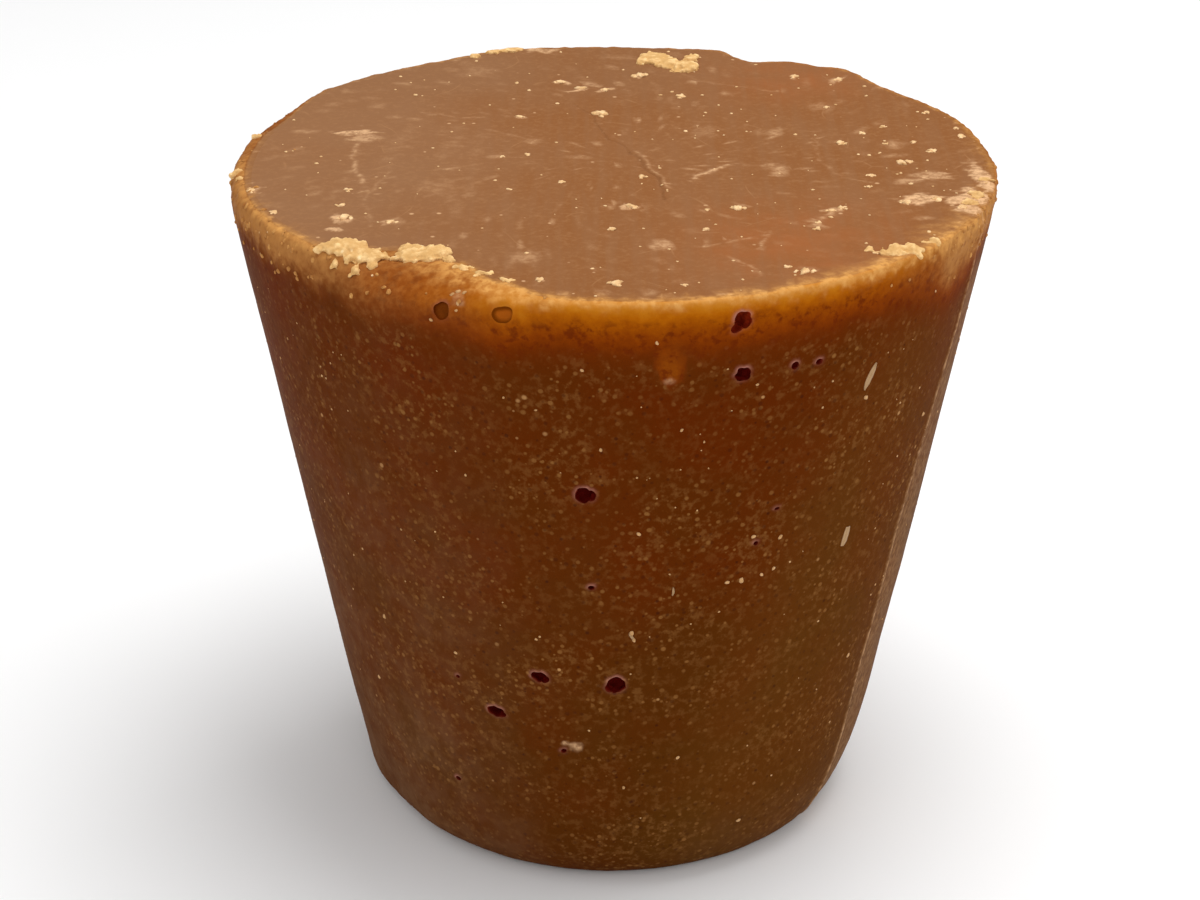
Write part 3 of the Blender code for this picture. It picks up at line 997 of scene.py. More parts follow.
# Crumbs on the top, as x, y, breadth and length.
TOP_CRUMBS = (
    (-2.0, 22.6, 1.3, 2.0), (10.8, 31.8, 0.9, 1.5), (29.6, 41.0, 0.8, 1.2), (4.2, -7.0, 1.0, 1.1),
    (17.7, -20.8, 1.3, 1.5), (13.2, -21.4, 0.6, 0.6), (12.8, -29.6, 0.9, 0.8), (2.3, -20.2, 1.5, 1.3),
    (-0.3, -29.4, 1.0, 0.9), (34.5, 8.4, 1.3, 1.1), (38.0, 13.0, 0.8, 0.9), (42.8, -1.0, 1.9, 1.2),
    (43.9, -0.4, 1.0, 0.8), (48.0, 4.5, 1.2, 0.9), (37.8, -6.6, 0.9, 0.8), (53.0, 11.0, 0.9, 1.2),
    (49.0, 22.2, 1.0, 0.9), (-38.5, -12.8, 0.6, 1.3), (-38.8, -19.6, 1.2, 0.7), (-48.2, -22.4, 0.9, 0.9),
    (-52.6, -13.0, 0.7, 1.4), (25.5, -46.0, 1.9, 1.1), (23.2, -44.3, 0.9, 0.8), (0.2, -50.2, 1.5, 1.3),
    (-10.0, -48.9, 0.9, 1.1), (9.2, -50.8, 0.7, 0.6), (-38.0, -25.0, 1.6, 1.2), (-31.4, -26.6, 1.3, 0.7),
    (30.8, -22.2, 1.0, 0.8), (32.4, -21.0, 1.1, 0.8), (28.8, -26.8, 0.8, 0.7), (28.4, -29.4, 0.8, 1.0),
    (4.6, 42.4, 1.5, 1.9), (-8.4, 38.8, 1.4, 0.9), (-5.2, 35.6, 1.6, 0.7), (-1.2, 34.8, 1.1, 0.9),
    (36.3, 38.4, 1.2, 0.9), (-14.5, 21.2, 1.1, 0.6), (41.4, 7.8, 0.8, 0.7), (45.6, 8.6, 0.7, 0.8),
    (35.6, -39.0, 0.8, 0.7), (46.6, -17.4, 1.4, 1.0), (41.8, -18.6, 1.3, 0.9), (49.6, -20.8, 1.2, 0.9),
    (-12.9, 3.0, 0.5, 0.9), (-16.6, 2.0, 0.5, 0.8), (-7.6, -9.2, 0.7, 0.8), (-15.2, -12.6, 0.6, 0.7),
    (33.6, 25.6, 0.6, 0.9), (41.6, 16.0, 0.7, 0.8), (52.6, 14.4, 0.6, 0.8), (37.0, -11.6, 0.8, 0.6),
)

# Bright grains in the wall, as azimuth, height and breadth.
WALL_GRAINS = (
    (-47.5, 41.8, 0.8), (-54.8, 28.3, 0.7), (59.5, 72.5, 0.8), (51.8, 33.5, 0.8), (3.0, 48.0, 0.9),
    (3.8, 65.2, 0.7), (22.8, 62.6, 0.8), (27.8, 61.5, 0.8), (21.5, 55.3, 1.0), (25.2, 55.6, 0.7),
    (19.0, 55.4, 0.7), (27.4, 56.2, 0.7), (-2.0, 79.2, 0.6), (-4.5, 91.8, 0.6), (28.2, 9.3, 0.8),
    (12.5, 24.5, 0.7), (2.0, 19.5, 0.6), (40.6, 81.4, 0.9), (-22.6, 100.8, 0.8), (-23.4, 100.4, 0.7),
    (-21.9, 99.8, 0.7), (-25.8, 97.0, 0.6), (-22.0, 98.9, 0.5), (-21.5, 100.9, 0.7), (3.4, 46.8, 0.7),
    (-30.0, 40.5, 0.6), (20.4, 88.0, 0.5), (9.6, 82.0, 0.6), (5.6, 96.0, 0.6),
)


def stood_on(spot: Spot, turn: float) -> Matrix:
    """The matrix that stands a thing on the skin, with its own +Z the way that the skin faces."""
    place, facing = spot
    facing = facing.to_track_quat("Z", "Y").to_matrix().to_4x4()
    return Matrix.Translation(place) @ facing @ Matrix.Rotation(turn, 4, "Z")


def add_grain(shape: bmesh.types.BMesh, stand: Matrix, detail: int, half: Sequence[float], seed: float,
              rough: float = 0.38) -> None:
    """Adds a rough, angular grain to a bmesh.

    Args:
        shape: The bmesh that takes it.
        stand: Its place and turn.
        detail: How often its starting ball is split.
        half: Its half breadths.
        seed: Another number gives another grain.
        rough: How far its outline strays from round.
    """
    shift = Vector((seed, seed * 0.7, -seed))
    for vertex in bmesh.ops.create_icosphere(shape, subdivisions=detail, radius=1.0)["verts"]:
        vertex.co *= 1.0 + rough * noise.noise(vertex.co * 1.4 + shift)
        vertex.co = stand @ (vertex.co * Vector(half))


@dataclass
class LooseSugar:
    """Everything of dry sugar that lies on the block or is caught in its skin."""

    surface: Surface
    voxel: float = 0.17
    fringe: int = 7
    dust: int = 260
    wall_dust: int = 520
    rim_bits: int = 520
    grain_hollow_shade: float = 0.35

    def rim_crumbs(self, finish: "DrySugar") -> bpy.types.Object:
        """The big crumbs: lumps run together, with a fringe of smaller ones and a grainy face."""
        chance = random.Random(7)
        shape = bmesh.new()
        for lump in RIM_LUMPS:
            self.add_lump(shape, lump, 3)
            for _ in range(self.fringe if lump.wide > 2.0 else 2):
                angle, breadth = chance.uniform(0.0, math.tau), chance.uniform(0.5, 1.2)
                x = lump.x + math.cos(angle) * lump.wide * 0.47
                y = lump.y + math.sin(angle) * lump.long * 0.47
                small = Lump(x, y, breadth, breadth * chance.uniform(0.7, 1.3), lump.tall * 0.55)
                self.add_lump(shape, small, 2)
        piece = piece_from(shape, "rim_crumbs")
        union = piece.modifiers.new("run_together", "REMESH")
        union.mode = "VOXEL"
        union.voxel_size = self.voxel
        applied(piece)
        points = places_of(piece.data)
        rough = 0.34 * grains(points, 1.1, 5) + 0.14 * grains(points, 0.5, 6)
        rough += 0.20 * cloud(points, 1.9, 30, 3)
        move_to(piece.data, points + normals_of(piece.data) * (rough - 0.24)[:, None])
        # Painted shade: darkest in the low places of the crumbs' relief.
        paint(piece.data, "hollow_shade", 1.0 - 2.0 * rough)
        return dressed(piece, finish)

    def add_lump(self, shape: bmesh.types.BMesh, lump: Lump, detail: int) -> None:
        """Adds one flattened ball, sunk a little into the skin."""
        place, normal = self.surface.under(lump.x, lump.y)
        if place is None:
            return
        upright = normal.lerp(UP, 0.5).normalized()
        scale = Matrix.Diagonal((lump.wide / 2.0, lump.long / 2.0, lump.tall, 1.0))
        matrix = stood_on((place, upright), math.radians(lump.turn)) @ scale
        bmesh.ops.create_icosphere(shape, subdivisions=detail, radius=1.0, matrix=matrix)

    def top_crumbs(self, finish: "DrySugar") -> bpy.types.Object:
        """Small crumbs on the top, and a dusting that is thickest on the right."""
        chance = random.Random(11)
        shape = bmesh.new()
        for index, (x, y, wide, long) in enumerate(TOP_CRUMBS):
            for part in range(4):
                share, away = (chance.uniform(0.35, 0.6), 0.62) if part else (1.0, 0.0)
                angle = chance.uniform(0.0, math.tau)
                across, along = away * wide * math.cos(angle), away * long * math.sin(angle)
                spot = self.surface.under(x + across, y + along)
                half = Vector((1.15 * wide * share, long * share, 0.26 * (wide + long) * share)) * 0.5
                stand = stood_on(spot, chance.uniform(-0.4, 0.4))
                add_grain(shape, stand, 2, half, index * 1.7 + part, 0.75)
        for index in range(self.dust):
            radius, angle = 55.5 * math.sqrt(chance.random()), chance.uniform(0.0, math.tau)
            x, y = radius * math.sin(angle), -radius * math.cos(angle)
            if chance.random() > 0.35 + 0.65 * (x + 58.0) / 116.0:
                continue
            breadth = chance.uniform(0.12, 0.30) if chance.random() < 0.85 else chance.uniform(0.3, 0.42)
            half = (breadth, breadth * chance.uniform(0.6, 1.3), breadth * 0.45)
            stand = stood_on(self.surface.under(x, y), chance.uniform(-0.6, 0.6))
            add_grain(shape, stand, 1, half, index * 0.9, 0.6)
        return self.piece_of_grains(shape, "top_crumbs", finish)

    def wall_grains(self, finish: "DrySugar") -> bpy.types.Object:
        """Pale crystals caught in the wall, each mostly sunk in it."""
        chance = random.Random(23)
        shape = bmesh.new()
        for index, (azimuth, height, wide) in enumerate(WALL_GRAINS):
            stand = stood_on(self.surface.beside(azimuth, height), index * 0.8)
            add_grain(shape, stand, 2, (wide * 0.36, wide * 0.5, wide * 0.22), index * 1.3)
        for index in range(self.wall_dust):
            azimuth, height = chance.uniform(-180.0, 180.0), 101.0 * math.sqrt(chance.uniform(0.002, 1.0))
            spot = self.surface.beside(azimuth, height)
            thick = 0.55 + 0.9 * noise.noise(spot[0] / 11.0)
            if chance.random() > thick or (abs(azimuth) < 50.0 and height > 92.0):
                continue
            breadth = chance.uniform(0.10, 0.22)
            half = (breadth, breadth * chance.uniform(0.7, 1.4), breadth * 0.5)
            add_grain(shape, stood_on(spot, chance.uniform(0.0, math.pi)), 1, half, index * 0.6)
        return self.piece_of_grains(shape, "wall_grains", finish)

    def broken_rim(self, finish: "DrySugar") -> bpy.types.Object:
        """Bits of the broken rim that still cling to it, most on the left."""
        chance = random.Random(31)
        shape = bmesh.new()
        for index in range(self.rim_bits):
            azimuth = chance.uniform(-180.0, 180.0)
            crumbly = round_the_block(RIM_LOOKS, np.array([azimuth]))[0][1]
            if chance.random() > 1.1 * crumbly - 0.1:
                continue
            spot = self.surface.beside(azimuth, 102.0 - 7.5 * chance.random() ** 2.0 * (0.3 + 0.7 * crumbly))
            if spot[0] is None or spot[0].xy.length < 47.0:
                continue
            breadth = chance.uniform(0.14, 0.42)
            half = (breadth, breadth * chance.uniform(0.7, 1.3), breadth * 0.6)
            add_grain(shape, stood_on(spot, chance.uniform(0.0, math.pi)), 2, half, index * 0.4)
        return self.piece_of_grains(shape, "broken_rim_bits", finish)

    def piece_of_grains(self, shape: bmesh.types.BMesh, name: str, finish: "DrySugar") -> bpy.types.Object:
        """Makes a piece of the grains in a bmesh and gives it its finish."""
        piece = piece_from(shape, name)
        # The same painted hollow shade at every vertex.
        paint(piece.data, "hollow_shade", np.full(len(piece.data.vertices), self.grain_hollow_shade))
        return dressed(piece, finish)


@dataclass(frozen=True)
class HuskBit:
    """A sliver of cane husk in the wall: its middle, length, width, taper of its ends and slant."""

    azimuth: float
    height: float
    length: float
    width: float
    taper: float
    slant: float


HUSK_BITS = [HuskBit(*row) for row in (
    (40.6, 84.8, 4.3, 1.15, 0.85, 17), (42.4, 57.8, 3.2, 1.15, 0.30, 6), (9.7, 55.0, 1.4, 0.35, 0.6, 4),
    (3.0, 47.4, 1.5, 0.4, 0.6, -24), (124.0, 61.0, 3.8, 0.9, 0.7, -32), (158.0, 82.0, 2.6, 0.8, 0.4, 48),
    (-146.0, 49.0, 4.6, 0.7, 0.85, 20), (-112.0, 78.0, 2.2, 0.9, 0.4, -12), (-176.0, 31.0, 1.8, 0.5, 0.6, 70),
)]


@dataclass
class Husk:
    """The slivers of husk, half sunk in the wall."""

    surface: Surface
    thick: float = 0.34
    cuts: int = 7
    sharp_angle: float = 50.0

    def build(self, finish: "CaneFibre") -> bpy.types.Object:
        """Builds every sliver as one piece."""
        shape = bmesh.new()
        grain = shape.verts.layers.float.new("grain")
        for index, bit in enumerate(HUSK_BITS):
            self.add_sliver(shape, grain, bit, index)
        return dressed(piece_from(shape, "husk_bits"), finish, self.sharp_angle)

    def add_sliver(
        self, shape: bmesh.types.BMesh, grain: bmesh.types.BMLayerItem, bit: HuskBit, index: int
    ) -> None:
        """Adds one sliver: a flat bar, split along and across, drawn in at its ends and bowed.

        Args:
            shape: The bmesh that takes it.
            grain: The layer that holds each vertex's place across the fibres.
            bit: The sliver's sizes.
            index: Its number, for its own unevenness.
        """
        start = len(shape.verts)
        bar = bmesh.ops.create_cube(shape, size=1.0)["verts"]
        edges = list(dict.fromkeys(edge for vertex in bar for edge in vertex.link_edges))
        bmesh.ops.subdivide_edges(shape, edges=edges, cuts=self.cuts, use_grid_fill=True)
        shape.verts.ensure_lookup_table()
        stand = stood_on(self.surface.beside(bit.azimuth, bit.height), math.radians(-bit.slant))
        for vertex in shape.verts[start:]:
            x, y, z = vertex.co
            vertex[grain] = x
            narrow = 1.0 - bit.taper * abs(2.0 * y) ** 2.5
            ridge = 0.10 * math.cos(14.0 * x) + 0.2 * noise.noise(Vector((x * 2.0, y * 5.0, index * 3.0)))
            crown = 1.0 - 0.8 * (2.0 * x) ** 2
            across = x * bit.width * narrow + 0.06 * math.sin(4.0 * y + index)
            high = z * self.thick * (crown if z > 0 else 1.0) + ridge * self.thick * (z > 0)
            vertex.co = stand @ Vector((across, y * bit.length, high))


# ---------------------------------------------------------------- shader nodes


class Nodes:
    """Adds nodes to one shader tree and joins them up."""

    def __init__(self, tree: bpy.types.NodeTree) -> None:
        """Takes the tree to fill."""
        self.tree = tree

    def put(self, socket: Socket, value: object) -> None:
        """Links a socket to the value if that is a socket, or else sets it."""
        if isinstance(value, Socket):
            self.tree.links.new(value, socket)
        elif isinstance(value, tuple) and socket.type == "RGBA":
            socket.default_value = (*value, 1.0)
        else:
            socket.default_value = value

    def add(self, kind: str, inputs: dict | None = None, **settings: object) -> bpy.types.Node:
        """Adds a node.

        Args:
            kind: The node's type, without its ShaderNode prefix.
            inputs: Values or sockets for its inputs, by name or number.
            settings: The node's own properties.

        Returns:
            The node.
        """
        node = self.tree.nodes.new("ShaderNode" + kind)
        for name, value in settings.items():
            setattr(node, name, value)
        for name, value in (inputs or {}).items():
            self.put(node.inputs[name], value)
        return node

    def math(self, operation: str, first: object, second: object, third: object = 0.0) -> Socket:
        """One sum of values."""
        return self.add("Math", {0: first, 1: second, 2: third}, operation=operation).outputs[0]

    def times(self, first: object, second: object) -> Socket:
        """The product of two values."""
        return self.math("MULTIPLY", first, second)

    def mix(self, factor: object, low: object, high: object, blend: str = "MIX") -> Socket:
        """The colour between low and high."""
        return self.add("Mix", {0: factor, 6: low, 7: high}, data_type="RGBA", blend_type=blend).outputs[2]

    def between(
        self, value: object, start: object, end: object, low: float = 0.0, high: float = 1.0
    ) -> Socket:
        """Eases from low where the value is at start to high where it is at end."""
        inputs = {0: value, 1: start, 2: end, 3: low, 4: high}
        return self.add("MapRange", inputs, interpolation_type="SMOOTHSTEP").outputs[0]

    def texture(
        self, kind: str, vector: Socket, scale: object, detail: float = 0.0, out: int | str = 0
    ) -> Socket:
        """An output of a noise or Voronoi texture."""
        inputs = {"Vector": vector, "Scale": scale} | ({"Detail": detail} if kind == "Noise" else {})
        return self.add("Tex" + kind, inputs).outputs[out]


class Effect(Enum):
    """The effects that several finishes share."""

    SPECKS = "sugar_specks"
    TONE = "cloudy_tone"
    GRAIN = "fine_grain"

    def tree(self) -> bpy.types.NodeTree:
        """The effect's node group, built the first time that it is asked for."""
        found = bpy.data.node_groups.get(self.value)
        return found if found else getattr(self, f"_make_{self.value}")()

    def _blank(
        self, breadth: str, inputs: dict[str, str], outputs: dict[str, str]
    ) -> tuple[Nodes, bpy.types.bpy_prop_collection, bpy.types.bpy_prop_collection, Socket]:
        """Makes a group with named sockets, and the scale of its textures.

        Args:
            breadth: The name of its input for the breadth of its pattern in metres.
            inputs: The kind of each other input socket, by name.
            outputs: The kind of each output socket, by name.

        Returns:
            The group's nodes, its inputs and outputs by name, and the scale.
        """
        tree = bpy.data.node_groups.new(self.value, "ShaderNodeTree")
        inputs = {"Vector": "Vector", breadth: "Float"} | inputs
        for way, sockets in (("INPUT", inputs), ("OUTPUT", outputs)):
            for name, kind in sockets.items():
                tree.interface.new_socket(name=name, in_out=way, socket_type="NodeSocket" + kind)
        nodes = Nodes(tree)
        given = tree.nodes.new("NodeGroupInput").outputs
        made = tree.nodes.new("NodeGroupOutput").inputs
        return nodes, given, made, nodes.math("DIVIDE", 1.0, given[breadth])

    def _make_sugar_specks(self) -> bpy.types.NodeTree:
        """Soft dots: Cell is their spacing, Reach their size as a share of it, Share how many there are."""
        inputs = {"Reach": "Float", "Share": "Float"}
        nodes, given, made, scale = self._blank("Cell", inputs, {"Mask": "Float"})
        cells = nodes.add("TexVoronoi", {"Vector": given["Vector"], "Scale": scale}).outputs
        chance = nodes.add("SeparateColor", {0: cells["Color"]}).outputs
        shown = nodes.math("LESS_THAN", chance[0], given["Share"])
        size = nodes.times(nodes.math("MULTIPLY_ADD", chance[1], 0.6, 0.4), given["Reach"])
        dot = nodes.between(cells["Distance"], size, nodes.times(size, 0.45))
        nodes.put(made["Mask"], nodes.times(dot, shown))
        return nodes.tree

    def _make_cloudy_tone(self) -> bpy.types.NodeTree:
        """Two colours that drift into each other: Size is the breadth of a patch."""
        sockets = {"Low": "Color", "High": "Color", "Hardness": "Float"}
        nodes, given, made, scale = self._blank("Size", sockets, {"Colour": "Color", "Mask": "Float"})
        wave = nodes.texture("Noise", given["Vector"], scale, 3.0)
        spread = nodes.math("MULTIPLY_ADD", given["Hardness"], -0.3, 0.32)
        mask = nodes.between(wave, nodes.math("SUBTRACT", 0.5, spread), nodes.math("ADD", 0.5, spread))
        nodes.put(made["Colour"], nodes.mix(mask, given["Low"], given["High"]))
        nodes.put(made["Mask"], mask)
        return nodes.tree

    def _make_fine_grain(self) -> bpy.types.NodeTree:
        """A sugary grain: Size is the breadth of a grain, and Height runs from 0 to about 1."""
        nodes, given, made, scale = self._blank("Size", {}, {"Height": "Float"})
        cells = nodes.texture("Voronoi", given["Vector"], scale, out="Distance")
        wave = nodes.texture("Noise", given["Vector"], scale, 4.0)
        round_grain = nodes.times(nodes.math("SUBTRACT", 1.0, cells), 0.55)
        nodes.put(made["Height"], nodes.math("ADD", round_grain, nodes.times(wave, 0.6)))
        return nodes.tree


class Look(Nodes):
    """A material in the making, with its Object coordinates."""

    def __init__(self, name: str) -> None:
        """Starts the material."""
        self.material = bpy.data.materials.new(name)
        self.material.use_nodes = True
        super().__init__(self.material.node_tree)
        self.place = self.add("TexCoord").outputs["Object"]

    def noise(
        self, size: float, detail: float = 2.0, rough: float = 0.5, vector: Socket | None = None
    ) -> Socket:
        """Noise from 0 to 1 with lumps of a size in millimetres."""
        inputs = {"Vector": vector or self.place, "Scale": 1.0 / (size * MM)}
        inputs |= {"Detail": detail, "Roughness": rough}
        return self.add("TexNoise", inputs).outputs[0]

    def attribute(self, name: str) -> Socket:
        """A value that is painted on the piece."""
        return self.add("Attribute", attribute_name=name).outputs["Fac"]

    def ramp(self, value: object, stops: Sequence[tuple[float, Colour]]) -> Socket:
        """The colour at a value along a row of stops."""
        node = self.add("ValToRGB", {0: value})
        bar = node.color_ramp.elements
        while len(bar) < len(stops):
            bar.new(1.0)
        for element, (place, colour) in zip(bar, stops):
            element.position = place
            element.color = (*colour, 1.0)
        return node.outputs[0]

    def effect(self, effect: Effect, output: str, **inputs: object) -> Socket:
        """Places a shared effect on the Object coordinates and gives one of its outputs."""
        node = self.add("Group", {"Vector": self.place}, node_tree=effect.tree())
        for name, value in inputs.items():
            self.put(node.inputs[name], value)
        return node.outputs[output]

    def specks(self, cell: float, reach: float, share: float) -> Socket:
        """Where the shared specks show."""
        return self.effect(Effect.SPECKS, "Mask", Cell=cell, Reach=reach, Share=share)

    def finished(self, colour: Socket, height: Socket, bump: tuple[float, float], rough: object,
                 specular: float) -> bpy.types.Material:
        """Joins everything to the shader.

        Args:
            colour: The base colour.
            height: The fine relief.
            bump: The relief's strength, and its height in metres.
            rough: The roughness.
            specular: The specular level.

        Returns:
            The material.
        """
        normal = self.add("Bump", {"Strength": bump[0], "Distance": bump[1], "Height": height}).outputs[0]
        shader = self.tree.nodes["Principled BSDF"].inputs
        inputs = {"Base Color": colour, "Normal": normal, "Roughness": rough, "Specular IOR Level": specular}
        for name, value in inputs.items():
            self.put(shader[name], value)
        return self.material


# ---------------------------------------------------------------- finishes


@dataclass(frozen=True)
class DryTop:
    """The dull, dry top: clouded and faintly streaked, with scratches, fine specks and smears of sugar."""

    warm: Colour = (0.238, 0.089, 0.026)
    grey: Colour = (0.258, 0.118, 0.050)
    flush: Colour = (0.316, 0.102, 0.029)
    speck: Colour = (0.380, 0.190, 0.080)
    crack_and_shade: Colour = (0.120, 0.042, 0.012)
    dry: Colour = (0.700, 0.420, 0.220)
    # The pale edge line, partly a painted highlight.
    edge: Colour = (0.640, 0.310, 0.085)

    def crust(self, look: Look, fine: Socket) -> Socket:
        """The crust's colour, from warm brown to dry grey, flushed at the front right."""
        colour = look.mix(look.attribute("dull"), self.warm, self.grey)
        colour = look.mix(look.between(fine, 0.45, 0.75, 0.0, 0.30), colour, self.speck)
        return look.mix(look.times(look.attribute("flush"), 0.75), colour, self.flush)

    def edged(self, look: Look, fine: Socket, colour: Socket) -> Socket:
        """Adds the pale, gritty line along the top's edge, which is partly a painted highlight."""
        grit = look.between(fine, 0.36, 0.62, 0.5, 1.0)
        return look.mix(look.times(look.attribute("edge"), grit), colour, self.edge)

    def smeared(self, look: Look, fine: Socket, colour: Socket) -> Socket:
        """Adds the pale smears and marks."""
        grit = look.between(fine, 0.34, 0.62, 0.35, 1.0)
        return look.mix(look.times(look.attribute("pale"), grit), colour, self.dry)

    def marked(self, look: Look, colour: Socket) -> Socket:
        """Adds streaks, dots, and hair-thin, broken scratches in loose arcs."""
        stretch = look.add("Mapping", {"Vector": look.place, "Scale": (1.0, 0.07, 1.0)}).outputs[0]
        streak = look.between(look.noise(1.6, 3.0, vector=stretch), 0.38, 0.7, 0.0, 0.35)
        colour = look.mix(streak, colour, self.grey)
        colour = look.mix(look.times(look.specks(0.0032, 0.15, 0.32), 0.6), colour, self.dry)
        sway = look.texture("Noise", look.place, 60.0, 1.0, "Color")
        bent = look.mix(0.012, look.place, sway, "ADD")
        cells = look.add("TexVoronoi", {"Vector": bent, "Scale": 70.0}, feature="DISTANCE_TO_EDGE").outputs[0]
        line = look.times(look.between(cells, 0.012, 0.004), look.between(look.noise(7.0), 0.52, 0.66))
        return look.mix(look.times(line, 0.35), colour, self.speck)

    def material(self) -> bpy.types.Material:
        """Builds the material."""
        look = Look("dry_top")
        fine = look.noise(0.9, 4.0, 0.65)
        colour = self.edged(look, fine, self.marked(look, self.crust(look, fine)))
        # Dark cracks, and painted shade towards the back.
        colour = look.mix(look.attribute("dark"), self.smeared(look, fine, colour), self.crack_and_shade)
        strength = look.math("MULTIPLY_ADD", look.attribute("pale"), 0.9, 0.5)
        height = look.times(look.noise(0.8, 4.0, 0.6), strength)
        return look.finished(colour, height, (0.55, 0.00016), 0.72, 0.05)


@dataclass(frozen=True)
class CastSugar:
    """Cast cane sugar: a waxy dark wall, and a thin amber rim with the light that passes through it painted
    into its colour.

    The rows of its dots, and of the dark dots painted as shade in small pits, are cell, reach, share, colour
    and strength.
    """

    red: Colour = (0.106, 0.0140, 0.0003)
    brown: Colour = (0.077, 0.0220, 0.0018)
    olive: Colour = (0.126, 0.0520, 0.0084)
    speck: Colour = (0.225, 0.094, 0.024)
    dust_and_sheen: Colour = (0.165, 0.078, 0.036)
    garnet: Colour = (0.112, 0.0145, 0.0015)
    lip_highlight: Colour = (0.380, 0.155, 0.115)
    crumbly: Colour = (0.390, 0.165, 0.045)
    crumbly_deep: Colour = (0.205, 0.058, 0.012)
    top: DryTop = DryTop()
    dots: tuple[tuple[float, float, float, Colour, float], ...] = (
        (0.0011, 0.46, 0.46, (0.225, 0.094, 0.024), 0.80), (0.0021, 0.26, 0.42, (0.225, 0.094, 0.024), 1.0),
        (0.0048, 0.11, 0.50, (0.460, 0.240, 0.090), 0.95),
    )
    pit_shade_dots: tuple[tuple[float, float, float, Colour, float], ...] = (
        (0.0019, 0.22, 0.45, (0.035, 0.007, 0.003), 0.6), (0.0012, 0.40, 0.50, (0.035, 0.007, 0.003), 0.38),
    )
    amber_glow: tuple[tuple[float, Colour], ...] = (
        (0.00, (0.100, 0.0160, 0.0006)), (0.16, (0.134, 0.0215, 0.0012)), (0.28, (0.200, 0.0350, 0.0012)),
        (0.44, (0.275, 0.0600, 0.0012)), (0.63, (0.380, 0.1000, 0.0020)), (0.80, (0.450, 0.1450, 0.0060)),
        (1.00, (0.520, 0.1900, 0.0180)),
    )

    def wall_colour(self, look: Look, fine: Socket) -> Socket:
        """The wall: red-brown, clouded, peppered with pale grains and with dark dots painted as shade in
        small pits, under grey dust that is partly a painted sheen.
        """
        cloudy = look.effect(Effect.TONE, "Mask", Size=0.014, Hardness=0.35)
        height = look.add("SeparateXYZ", {0: look.place}).outputs[2]
        lower = look.between(height, 0.095, 0.010, 0.12, 0.58)
        colour = look.mix(look.math("ADD", look.times(cloudy, 0.42), lower), self.red, self.brown)
        colour = look.mix(look.attribute("mellow"), colour, self.olive)
        thick = look.between(look.noise(11.0), 0.35, 0.68, 0.35, 1.0)
        colour = look.mix(look.times(look.between(fine, 0.46, 0.68, 0.0, 0.42), thick), colour, self.speck)
        # The second rows are dark dots that paint the shade in small pits.
        for rows, spread in ((self.dots, thick), (self.pit_shade_dots, 1.0)):
            for cell, reach, share, tint, strength in rows:
                dots = look.times(look.times(look.specks(cell, reach, share), strength), spread)
                colour = look.mix(dots, colour, tint)
        patchy = look.between(look.noise(3.0, 3.0), 0.3, 0.7, 0.35, 0.75)
        # Grey dust, partly a painted sheen at the sides and foot of the wall.
        return look.mix(look.times(look.attribute("dust_and_sheen"), patchy), colour, self.dust_and_sheen)

    def rim_colour(self, look: Look, fine: Socket, wall: Socket) -> Socket:
        """The amber rim with its painted glow of light passing through, and the crumbly band, over the wall's
        colour.
        """
        amber_glow, crumbly = look.attribute("amber_glow"), look.attribute("crumbly")
        strayed = look.math("SUBTRACT", fine, 0.5)
        wave = look.times(look.times(strayed, 0.30), look.between(amber_glow, 0.05, 0.4))
        # Painted glow of light passing through the thin amber rim.
        shown = look.ramp(look.math("ADD", amber_glow, wave), self.amber_glow)
        colour = look.mix(look.between(amber_glow, 0.03, 0.22), wall, shown)
        colour = look.mix(look.times(look.attribute("mellow"), 0.5), colour, self.olive)
        dots = look.specks(0.0012, 0.48, 0.6)
        low = look.times(look.between(amber_glow, 0.08, 0.22), look.between(amber_glow, 0.62, 0.34, 0.0, 0.75))
        blots = look.between(look.noise(1.6, 3.0, 0.6), 0.50, 0.66)
        blots = look.math("MAXIMUM", blots, look.times(dots, 0.5))
        colour = look.mix(look.times(blots, low), colour, self.garnet)
        ripe = look.math("ADD", crumbly, look.times(strayed, 1.1))
        broken = look.mix(look.between(ripe, 0.15, 1.0), self.crumbly_deep, self.crumbly)
        broken = look.mix(look.times(dots, 0.45), broken, self.crumbly_deep)
        return look.mix(look.between(crumbly, 0.0, 0.85), colour, broken)

    def material(self) -> bpy.types.Material:
        """Builds the material."""
        look = Look("cast_jaggery")
        top, fine = look.attribute("top"), look.noise(1.15, 3.0, 0.6)
        colour = self.rim_colour(look, fine, self.wall_colour(look, fine))
        colour = self.top.edged(look, fine, look.mix(top, colour, self.top.crust(look, fine)))
        colour = self.top.smeared(look, fine, colour)
        # Painted highlight on the lips of the blow holes.
        colour = look.mix(look.times(look.attribute("lip_highlight"), 0.9), colour, self.lip_highlight)
        grain = look.times(look.noise(0.55, 3.0, 0.6), 0.6)
        height = look.math("ADD", grain, look.times(look.specks(0.0011, 0.46, 0.42), 0.45))
        return look.finished(colour, height, (0.42, 0.00016), look.between(top, 0.0, 1.0, 0.48, 0.72), 0.003)


